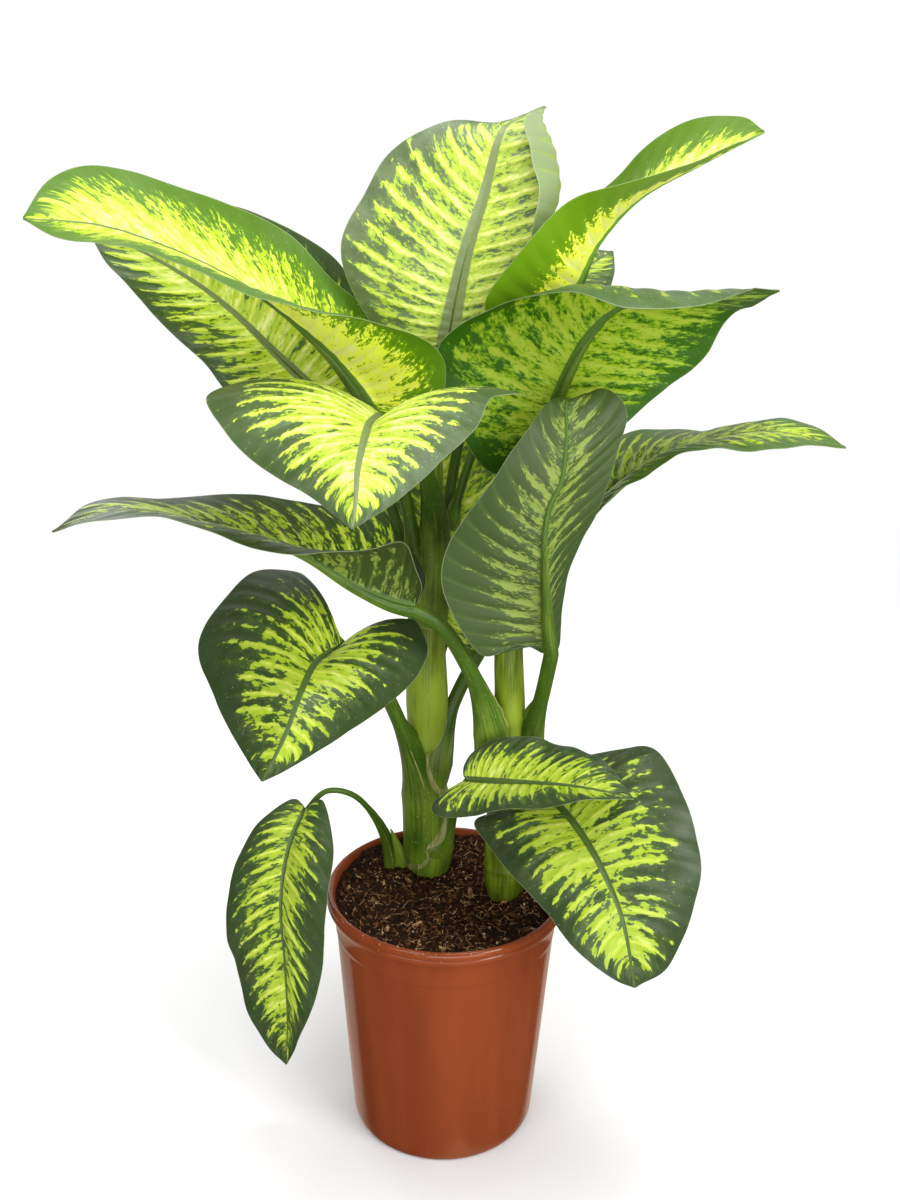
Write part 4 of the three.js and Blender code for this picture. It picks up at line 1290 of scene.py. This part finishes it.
def make_stem_streaks():
    """Group: fine streaks along a stem, with specks, from a place along and around it."""
    inputs = {
        "Across": 0.0,
        "Height": 0.0,
        "Pale Share": 0.0,
        "Papery": 0.0,
        "Green": CANE_GREEN,
        "Pale": CANE_PALE,
    }
    outputs = {"Color": BLACK, "Roughness": 0.5, "Bump": 0.0}
    n, given, result = group_nodes("stem streaks", inputs, outputs)
    across, height = given["Across"], given["Height"]
    streak_place = n.vector(across, n.times(height, 12.0), 0.0)
    cloud_place = n.vector(n.times(across, 0.12), n.times(height, 25.0), 4.0)
    speck_place = n.vector(n.times(across, 1.2), n.times(height, 260.0), 9.0)
    streaks = n.speckle(streak_place, 1.0, 3.0, 0.6)
    clouds = n.speckle(cloud_place, 1.0)
    specks = n.speckle(speck_place, 1.0, 1.0)
    share = n.times(n.less(streaks, 0.5), 1.3, given["Pale Share"])
    share = n.times(n.less(clouds, 0.5), 1.2, share)
    color = n.mix(n.ramp(share, 0.0, 1.0), given["Green"], given["Pale"])
    color = n.mix(n.ramp(specks, 0.68, 0.76, 0.0, 0.5), color, SPECK_BROWN)
    color = n.mix(n.ramp(specks, 0.33, 0.25, 0.0, 0.5), color, SPECK_PALE)
    dry = n.times(n.less(streaks, 0.5), 1.0, given["Papery"])
    paper = n.mix(streaks, PAPER_BROWN, PAPER_PALE)
    n.feed(result["Color"], n.mix(n.ramp(dry, 0.35, 0.7), color, paper))
    n.feed(result["Roughness"], n.times(clouds, 0.2, 0.3))
    n.feed(result["Bump"], n.times(streaks, 0.3, n.times(specks, 0.4)))
    return n.tree


def new_material(name):
    """A material with its nodes and its shader."""
    material = bpy.data.materials.new(name)
    material.use_nodes = True
    return material, Nodes(material.node_tree), material.node_tree.nodes["Principled BSDF"]


def set_finish(n, shader, color, rough, gloss, height, relief):
    """Colour, roughness, gloss and relief of a shader."""
    inputs = {"Height": height, "Strength": relief[0], "Distance": relief[1] * MM}
    bump = n.add("ShaderNodeBump", inputs).outputs["Normal"]
    values = {"Base Color": color, "Roughness": rough, "Specular IOR Level": gloss, "Normal": bump}
    for key, value in values.items():
        n.feed(shader.inputs[key], value)


def blend(first, second, share):
    """Two colours blended."""
    return tuple(a + (b - a) * share for a, b in zip(first, second))


def darker(color, share):
    """A colour times a share: darker below 1, lighter above it."""
    return tuple(c * share for c in color)


def leaf_material(name, look, seed, marks):
    """The finish of one leaf's blade."""
    material, n, shader = new_material(name + "_blade")
    lightness = LIGHTEST - look["dark"]
    glow = look["glow"]
    bright = look["bright"]
    lit_green = blend(LIT_GREEN, LIT_BRIGHT, look["lit"])
    inputs = {
        "Seed": seed * SEED_STEP,
        "Dark Green": blend(darker(DARK_GREEN, lightness), lit_green, glow * GLOW_IN_DARK),
        "Mid Green": blend(darker(MID_GREEN, lightness), lit_green, glow * GLOW_IN_MID),
        "Bright Green": blend(BLACK, BRIGHT_GREEN, BRIGHT_LEAST + BRIGHT_ADDED * bright),
        "Lit Green": lit_green,
        "Lit Yellow": blend(LIT_OLIVE, LIT_YELLOW, bright),
        "Under Green": blend(UNDER_GREEN, UNDER_CHALK, look["under"]),
        "Rib Above": blend(RIB_DARK, RIB_TOP, look["crest"]),
        "Rib Below": blend(BLACK, RIB_UNDER, look["ridge"]),
    }
    for key in ("core", "rim", "edge", "dust", "ladder", "fineness", "stretch", "bright",
                "lean", "bare_base", "glow"):
        inputs[key.replace("_", " ").title()] = look[key]
    group = n.add("ShaderNodeGroup", node_tree=marks)
    for key, value in inputs.items():
        n.feed(group.inputs[key], value)
    out = group.outputs
    gloss = LEAF_GLOSS - LIT_LEAF_DROP * glow
    set_finish(n, shader, out["Color"], out["Roughness"], gloss, out["Height"], LEAF_RELIEF)
    return material


def stem_material(name, streaks, green, pale, place):
    """The finish of a stem. place returns across, height, pale share and papery share."""
    material, n, shader = new_material(name)
    group = n.add("ShaderNodeGroup", node_tree=streaks)
    keys = ("Across", "Height", "Pale Share", "Papery", "Green", "Pale")
    for key, value in zip(keys, (*place(n), green, pale)):
        n.feed(group.inputs[key], value)
    out = group.outputs
    set_finish(n, shader, out["Color"], out["Roughness"], STEM_GLOSS, out["Bump"], STEM_RELIEF)
    return material


def stalk_place(n):
    """Across, height, pale share and papery share of a petiole, from its own attributes."""
    rim, around, clasp = n.attribute("stalk_place")
    gap, border, far = n.attribute("stalk_edge")
    line = n.times(n.ramp(gap, 0.35, 0.05), n.ramp(clasp, 0.02, 0.15))
    dry = n.times(n.ramp(border, 0.35, 0.9), 0.75)
    papery = n.calc("MAXIMUM", n.times(line, 0.6), dry)
    share = n.calc("ADD", n.ramp(clasp, 0.0, 1.0, 0.1, 0.45), n.ramp(far, 0.9, 1.5, 0.0, 0.25))
    return n.times(around, STALK_STREAKS), n.times(rim, MM), share, papery


def cane_place(middle):
    """The same four values for a cane that stands at a place in millimetres."""

    def place(n):
        x, y, z = n.split(n.coords())
        angle = n.calc("ARCTAN2", n.less(y, middle[1] * MM), n.less(x, middle[0] * MM))
        pale = n.less(n.ramp(z, *PALE_STARTS), n.ramp(z, *PALE_ENDS))
        return n.times(angle, CANE_STREAKS), z, n.times(pale, 0.6, 0.35), 0.0

    return place


def pot_material():
    """Glossy moulded plastic, with faint flow marks."""
    material, n, shader = new_material("pot_plastic")
    coords = n.coords()
    stretched = n.add("ShaderNodeMapping", {"Vector": coords, "Scale": FLOW_SCALE}).outputs[0]
    flow = n.speckle(stretched, 1.0, 3.0, 0.55)
    scuff = n.speckle(coords, SCUFF_SCALE)
    color = n.mix(n.ramp(flow, 0.3, 0.7), POT_BROWN, POT_LIGHT)
    rough = n.times(scuff, 0.04, n.times(flow, 0.06, 0.09))
    height = n.times(flow, 0.8, n.times(scuff, 0.05))
    set_finish(n, shader, color, rough, POT_GLOSS, height, POT_RELIEF)
    return material


def grain_material(name, first, second, light, scale):
    """A matt finish that runs between two colours by a noise of that scale."""
    material, n, shader = new_material(name)
    coords = n.coords()
    coarse = n.speckle(coords, scale, 4.0, 0.7)
    fine = n.speckle(coords, scale * 7, 2.0, 0.6)
    share = n.times(n.less(fine, 0.5), 1.0, coarse)
    color = n.mix(n.ramp(share, 0.35, 0.75), first, darker(second, light))
    set_finish(n, shader, color, PEAT_ROUGH, PEAT_GLOSS, fine, PEAT_RELIEF)
    return material


def inner_radius(z):
    """The pot's radius inside its wall at a height, as in the part's source."""
    if z > FLARE_LOW:
        share = min((z - FLARE_LOW) / (LIP_LOW - FLARE_LOW), 1)
        return FLARE_RADIUS + (NECK_RADIUS - FLARE_RADIUS) * share - WALL
    return BASE_RADIUS + (FLARE_RADIUS - BASE_RADIUS) * z / FLARE_LOW - WALL


def soil_level(x, y):
    """The height of the peat at a place, as in the part's source."""
    bumps = math.sin(x / 13 + 1.2) * math.cos(y / 11) + 0.6 * math.sin(x / 7 - y / 9)
    heap = (math.hypot(x, y) / RIM_RADIUS) ** 4 * (0.6 + 0.4 * y / RIM_RADIUS)
    return SOIL_LEVEL + SOIL_RISE * heap + SOIL_BUMP * bumps


def pot_profile():
    """Radius and height along the pot's wall, from under its middle round to the inside."""
    profile = [(0, 0), (UNDER_RING, 0)]
    profile += [(FOOT_ROUND[0] + r, FOOT_ROUND[1] + z) for r, z in FOOT_ROUND[2]]
    for z in np.linspace(*WALL_SPAN, WALL_RINGS):
        share = (z - BASE_EDGE) / (FLARE_LOW - BASE_EDGE)
        profile.append((BASE_RADIUS + (FLARE_RADIUS - BASE_RADIUS) * share, z))
    for radius, height, points in MOULDINGS:
        profile += [(radius + r, height + z) for r, z in points]
    profile.append((inner_radius(POT_HEIGHT), POT_HEIGHT - INSIDE_TOP))
    profile += [(inner_radius(z), z) for z in (LIP_LOW, FLARE_LOW, BASE_EDGE + 1)]
    profile += [(inner_radius(BASE_EDGE) - INSIDE_EDGE, WALL), (0, WALL)]
    return profile


def turned_piece(name, profile, sides, material):
    """A piece turned round the upright axis."""
    rows = np.array([[r, z] for r, z in profile if r > 0], float)
    angle = even_angles(sides)
    rim = np.stack([np.cos(angle), np.sin(angle)], -1)
    walls = [rows[:, None, :1] * rim[None], np.repeat(rows[:, None, 1:], sides, 1)]
    points = np.concatenate(walls, -1).reshape(-1, 3)
    faces = closed_faces(len(rows), sides, [len(points), len(points) + 1])
    points = np.vstack([points, [0, 0, profile[0][1]], [0, 0, profile[-1][1]]])
    return make_piece(name, points, faces, [material])


def apply_modifiers(piece):
    """The evaluated shape of a piece becomes its plain mesh."""
    graph = bpy.context.evaluated_depsgraph_get()
    shape = bpy.data.meshes.new_from_object(piece.evaluated_get(graph))
    piece.modifiers.clear()
    old = piece.data
    piece.data = shape
    bpy.data.meshes.remove(old)


def drill_holes(piece):
    """The drain holes in the pot's underside, cut through."""
    drills = []
    for k, turn in enumerate(even_angles(DRAIN_HOLES)):
        profile = [(0, -1), (DRAIN_RADIUS, -1), (DRAIN_RADIUS, WALL + 1), (0, WALL + 1)]
        drill = turned_piece(f"drill_{k}", profile, DRILL_SIDES, None)
        place = Vector((DRAIN_CIRCLE * math.cos(turn), DRAIN_CIRCLE * math.sin(turn), 0)) * MM
        drill.data.transform(Matrix.Translation(place))
        cut = piece.modifiers.new(f"drain_{k}", "BOOLEAN")
        cut.operation = "DIFFERENCE"
        cut.object = drill
        drills.append(drill)
    apply_modifiers(piece)
    for drill in drills:
        bpy.data.objects.remove(drill)


def soil_piece(material):
    """The peat: a rough top down to the pot's bottom."""
    wall = inner_radius(SOIL_LEVEL + SOIL_WALL_RISE) - SOIL_GAP
    points = [[0, 0, soil_level(0, 0)]]
    for i in range(1, SOIL_RINGS + 1):
        radius = wall * i / SOIL_RINGS
        for k in range(SOIL_SIDES):
            turn = 2 * math.pi * (k + 0.5 * (i % 2)) / SOIL_SIDES
            x, y = radius * math.cos(turn), radius * math.sin(turn)
            place = Vector((x, y, SOIL_SEED)) / SOIL_LUMP
            rough = noise.fractal(place, *SOIL_FRACTAL) * SOIL_ROUGH
            rough += noise.noise(place * SOIL_FINER) * SOIL_FINE
            drop = SOIL_EDGE_DROP * math.exp(-(((wall - radius) / SOIL_EDGE_REACH) ** 2))
            points.append([x, y, soil_level(x, y) + rough - drop])
    for height, z in ((FLARE_LOW, FLARE_LOW - 1), (BASE_EDGE, BASE_EDGE + 1)):
        radius = inner_radius(height) - SOIL_LOW_GAP
        for k in range(SOIL_SIDES):
            turn = 2 * math.pi * k / SOIL_SIDES
            points.append([radius * math.cos(turn), radius * math.sin(turn), z])
    points.append([0, 0, BASE_EDGE + 1])
    faces = closed_faces(SOIL_RINGS + 2, SOIL_SIDES, [0, len(points) - 1], first=1, flip=True)
    return make_piece("peat", points, faces, [material])


def scatter_tree(name, body):
    """Geometry nodes: small bodies of one kind, strewn over the upper faces of a mesh."""
    tree = bpy.data.node_groups.new(name, "GeometryNodeTree")
    new_socket = tree.interface.new_socket
    new_socket("Geometry", in_out="INPUT", socket_type="NodeSocketGeometry")
    for key in STREW_INPUTS:
        new_socket(key, in_out="INPUT", socket_type="NodeSocketFloat")
    new_socket("Seed", in_out="INPUT", socket_type="NodeSocketInt")
    new_socket("Material", in_out="INPUT", socket_type="NodeSocketMaterial")
    new_socket("Geometry", in_out="OUTPUT", socket_type="NodeSocketGeometry")
    given = tree.nodes.new("NodeGroupInput").outputs
    result = tree.nodes.new("NodeGroupOutput").inputs
    n = Nodes(tree)

    # Spots on faces that look up, in a ring round the pot's axis
    facing = n.add("GeometryNodeInputNormal").outputs[0]
    flat = n.calc("GREATER_THAN", n.split(facing)[2], UPWARD)
    place = n.add("GeometryNodeInputPosition").outputs[0]
    level = n.vector_calc("MULTIPLY", place, (1, 1, 0)).outputs[0]
    from_axis = n.vector_calc("LENGTH", level).outputs["Value"]
    outside = n.calc("GREATER_THAN", from_axis, given["Inner Reach"])
    inside = n.calc("LESS_THAN", from_axis, given["Outer Reach"])
    spots = n.add("GeometryNodeDistributePointsOnFaces", {
        "Mesh": given["Geometry"],
        "Selection": n.times(flat, n.times(outside, inside)),
        "Density": given["Count per Square Metre"],
        "Seed": given["Seed"],
    }, distribute_method="RANDOM")

    # One body, bent by noise
    if body["facets"]:
        ball = {"Radius": 0.5, "Subdivisions": body["facets"]}
        shape = n.add("GeometryNodeMeshIcoSphere", ball)
    else:
        cone = {"Vertices": FIBRE_SIDES, "Side Segments": FIBRE_SEGMENTS}
        cone.update({"Radius Top": FIBRE_TOP, "Radius Bottom": FIBRE_FOOT, "Depth": FIBRE_LENGTH})
        shape = n.add("GeometryNodeMeshCone", cone)
    wave = {"Vector": place, "Scale": body["wave"], "Detail": 2.0}
    waves = n.add("ShaderNodeTexNoise", wave).outputs["Color"]
    shift = n.vector_calc("SUBTRACT", waves, (0.5, 0.5, 0.5)).outputs[0]
    scaled = n.add("ShaderNodeVectorMath", {0: shift, "Scale": body["bend"]}, operation="SCALE")
    offset = {"Geometry": shape.outputs["Mesh"], "Offset": scaled.outputs[0]}
    lumpy = n.add("GeometryNodeSetPosition", offset)

    # Its sizes and turns
    smallest = n.less(1.0, given["Size Spread"])
    factor = n.add("FunctionNodeRandomValue", {2: smallest, 3: 1.0, "Seed": given["Seed"]})
    size = n.times(factor.outputs[1], given["Size"])
    turn = n.add("FunctionNodeRandomValue", data_type="FLOAT_VECTOR")
    middle, tilt = body["turn"], body["tilt"]
    turn.inputs[0].default_value = (middle - tilt, -tilt, -math.pi)
    turn.inputs[1].default_value = (middle + tilt, tilt, math.pi)
    strewn = n.add("GeometryNodeInstanceOnPoints", {
        "Points": spots.outputs["Points"],
        "Instance": lumpy.outputs["Geometry"],
        "Rotation": turn.outputs[0],
        "Scale": n.vector(n.times(size, given["Stretch"]), size, size),
    })
    real = n.add("GeometryNodeRealizeInstances", {"Geometry": strewn.outputs["Instances"]})
    finish = {"Geometry": real.outputs[0], "Material": given["Material"]}
    n.feed(result[0], n.add("GeometryNodeSetMaterial", finish).outputs[0])
    return tree


def strew(name, ground, tree, material, values):
    """A plain mesh of small bodies strewn over a piece by a tree."""
    piece = link(bpy.data.objects.new(name, ground.data.copy()))
    strewer = piece.modifiers.new("strew", "NODES")
    strewer.node_group = tree
    sockets = {s.name: s.identifier for s in tree.interface.items_tree if s.in_out == "INPUT"}
    strewer[sockets["Material"]] = material
    for key, value in zip([*STREW_INPUTS, "Seed"], values):
        strewer[sockets[key]] = value
    apply_modifiers(piece)
    return piece


def aim_camera():
    """The camera at the photograph's viewing angle."""
    data = bpy.data.cameras.new("camera")
    data.lens = CAMERA_LENS
    data.sensor_width = CAMERA_SENSOR
    data.clip_start, data.clip_end = CAMERA_CLIP
    camera = link(bpy.data.objects.new("camera", data))
    forward = Vector((0, math.cos(CAMERA_PITCH), -math.sin(CAMERA_PITCH)))
    level_up = Vector((0, math.sin(CAMERA_PITCH), math.cos(CAMERA_PITCH)))
    level_right = Vector((1, 0, 0))
    right = level_right * math.cos(CAMERA_ROLL) + level_up * math.sin(CAMERA_ROLL)
    up = level_up * math.cos(CAMERA_ROLL) - level_right * math.sin(CAMERA_ROLL)
    turn = Matrix((right, up, -forward)).transposed()
    camera.matrix_world = Matrix.Translation(Vector(CAMERA_PLACE) * MM) @ turn.to_4x4()
    bpy.context.scene.camera = camera


def add_light(name, place, target, size, power):
    """A soft square light that looks at a place."""
    data = bpy.data.lights.new(name, "AREA")
    data.shape = "RECTANGLE"
    data.size, data.size_y = size
    data.energy = power
    lamp = link(bpy.data.objects.new(name, data))
    lamp.location = place
    aim = Vector(target) - Vector(place)
    lamp.rotation_euler = aim.to_track_quat("-Z", "Y").to_euler()
    lamp.visible_camera = False


def make_surroundings():
    """Pale surroundings: bright to the camera, softer as light and dim in gloss."""
    world = bpy.data.worlds.new("surroundings")
    world.use_nodes = True
    n = Nodes(world.node_tree)
    rays = n.add("ShaderNodeLightPath").outputs
    seen = n.times(rays["Is Camera Ray"], SURROUND_STRENGTH - SURROUND_LIGHT, SURROUND_LIGHT)
    strength = n.times(rays["Is Glossy Ray"], SURROUND_GLOSS - SURROUND_LIGHT, seen)
    background = world.node_tree.nodes["Background"]
    n.feed(background.inputs["Color"], SURROUND)
    n.feed(background.inputs["Strength"], strength)
    bpy.context.scene.world = world


def make_floor():
    """A plain pale floor that fades into the surroundings, and glows to gloss alone as painted
    light.
    """
    bpy.ops.mesh.primitive_circle_add(
        vertices=FLOOR_SIDES, radius=FLOOR_RADIUS, fill_type="NGON")
    floor = bpy.context.object
    floor.name = "floor"
    material, n, shader = new_material("floor_white")
    coords = n.coords()
    n.feed(shader.inputs["Roughness"], FLOOR_ROUGH)
    n.feed(shader.inputs["Base Color"], FLOOR_WHITE)
    glow = n.add("ShaderNodeEmission", {"Color": SURROUND, "Strength": SURROUND_STRENGTH})
    far = n.vector_calc("LENGTH", coords).outputs["Value"]
    faded = n.add("ShaderNodeMixShader", {
        0: n.ramp(far, *FLOOR_FADE),
        1: shader.outputs[0],
        2: glow.outputs[0],
    })
    # Painted light: a glow that only gloss sees, warm and brighter behind two lines, for the pot's
    # reflections
    x, y, _ = n.split(coords)
    left_line = n.times(n.times(x, -1.0), BRIGHT_SLOPES[0], BRIGHT_STARTS[0])
    right_line = n.times(x, BRIGHT_SLOPES[1], BRIGHT_STARTS[1])
    behind = n.less(y, n.calc("MAXIMUM", left_line, right_line))
    strength = n.ramp(behind, 0.0, BRIGHT_BLUR, FLOOR_GLOSS, BEHIND_GLOSS)
    dim = n.add("ShaderNodeEmission", {"Color": GLOSS_GLOW_COLOR, "Strength": strength})
    gloss_glowing = n.add("ShaderNodeMixShader", {
        0: n.add("ShaderNodeLightPath").outputs["Is Glossy Ray"],
        1: faded.outputs[0],
        2: dim.outputs[0],
    })
    n.feed(material.node_tree.nodes["Material Output"].inputs["Surface"], gloss_glowing.outputs[0])
    floor.data.materials.append(material)


def dress(piece, slot, *nodes):
    """A piece that rides on the plant's one body and stands for nodes."""
    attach(piece, "root")
    if nodes:
        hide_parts(*nodes)
    return piece


aim_camera()
make_surroundings()
make_floor()
marks = make_leaf_marks()
streaks = make_stem_streaks()

leaves = [Leaf(data) for data in LEAVES]
stalks = [Petiole(leaf, {**PLAIN_FOOT, **FEET.get(leaf.data["name"], {})}) for leaf in leaves]
stems = [(stalk.centres, stalk.radius) for stalk in stalks]
canes = [cane_rings(data["line"], CANE_ROUGH_STEP) for data in CANES.values()]

for i, leaf in enumerate(leaves):
    name = leaf.data["name"]
    look = {**PLAIN_LOOK, **LOOKS[name]}
    seed = i + 1
    light = look["stalk"]
    others = canes + stems[:i] + stems[i + 1:]
    parts = [(blade(leaf, look["rib"], seed), 0), (petiole(stalks[i], others, seed), 1)]
    if name == "leaf_hanging":
        parts.append((bud(), 1))
    points, faces, slots, attributes = join_parts(parts)
    finishes = [
        leaf_material(name, look, seed, marks),
        stem_material(name + "_stalk", streaks, darker(STALK_GREEN, light),
                      darker(STALK_PALE, light), stalk_place),
    ]
    piece = make_piece(name + "_grown", points, faces, finishes, slots, attributes)
    dress(piece, "leaf", name)

for name, data in CANES.items():
    place = cane_place(data["middle"])
    finish = stem_material(name + "_green", streaks, CANE_GREEN, CANE_PALE, place)
    dress(cane(name + "_grown", data, finish), "cane", name)

pot = turned_piece("nursery_pot", pot_profile(), POT_SIDES, pot_material())
drill_holes(pot)
dress(pot, "pot_plastic", "pot")

grains = {name: grain_material(name, *values) for name, values in GRAINS.items()}
trees = {name: scatter_tree(f"strewn {name}s", body) for name, body in BODIES.items()}
peat = soil_piece(grains["peat_dark"])
grounds = {"peat": peat, "pot": pot}
strewn = [
    strew(name, grounds[ground], trees[body], grains[grain], values)
    for name, (ground, body, grain, *values) in STREWN.items()
]
dress(peat, "peat", "soil")
for piece in strewn:
    dress(piece, "peat")

for name, values in LIGHTS.items():
    add_light(name, *values)

view = bpy.context.scene.view_settings
view.view_transform = "Standard"

bpy.context.view_layer.update()
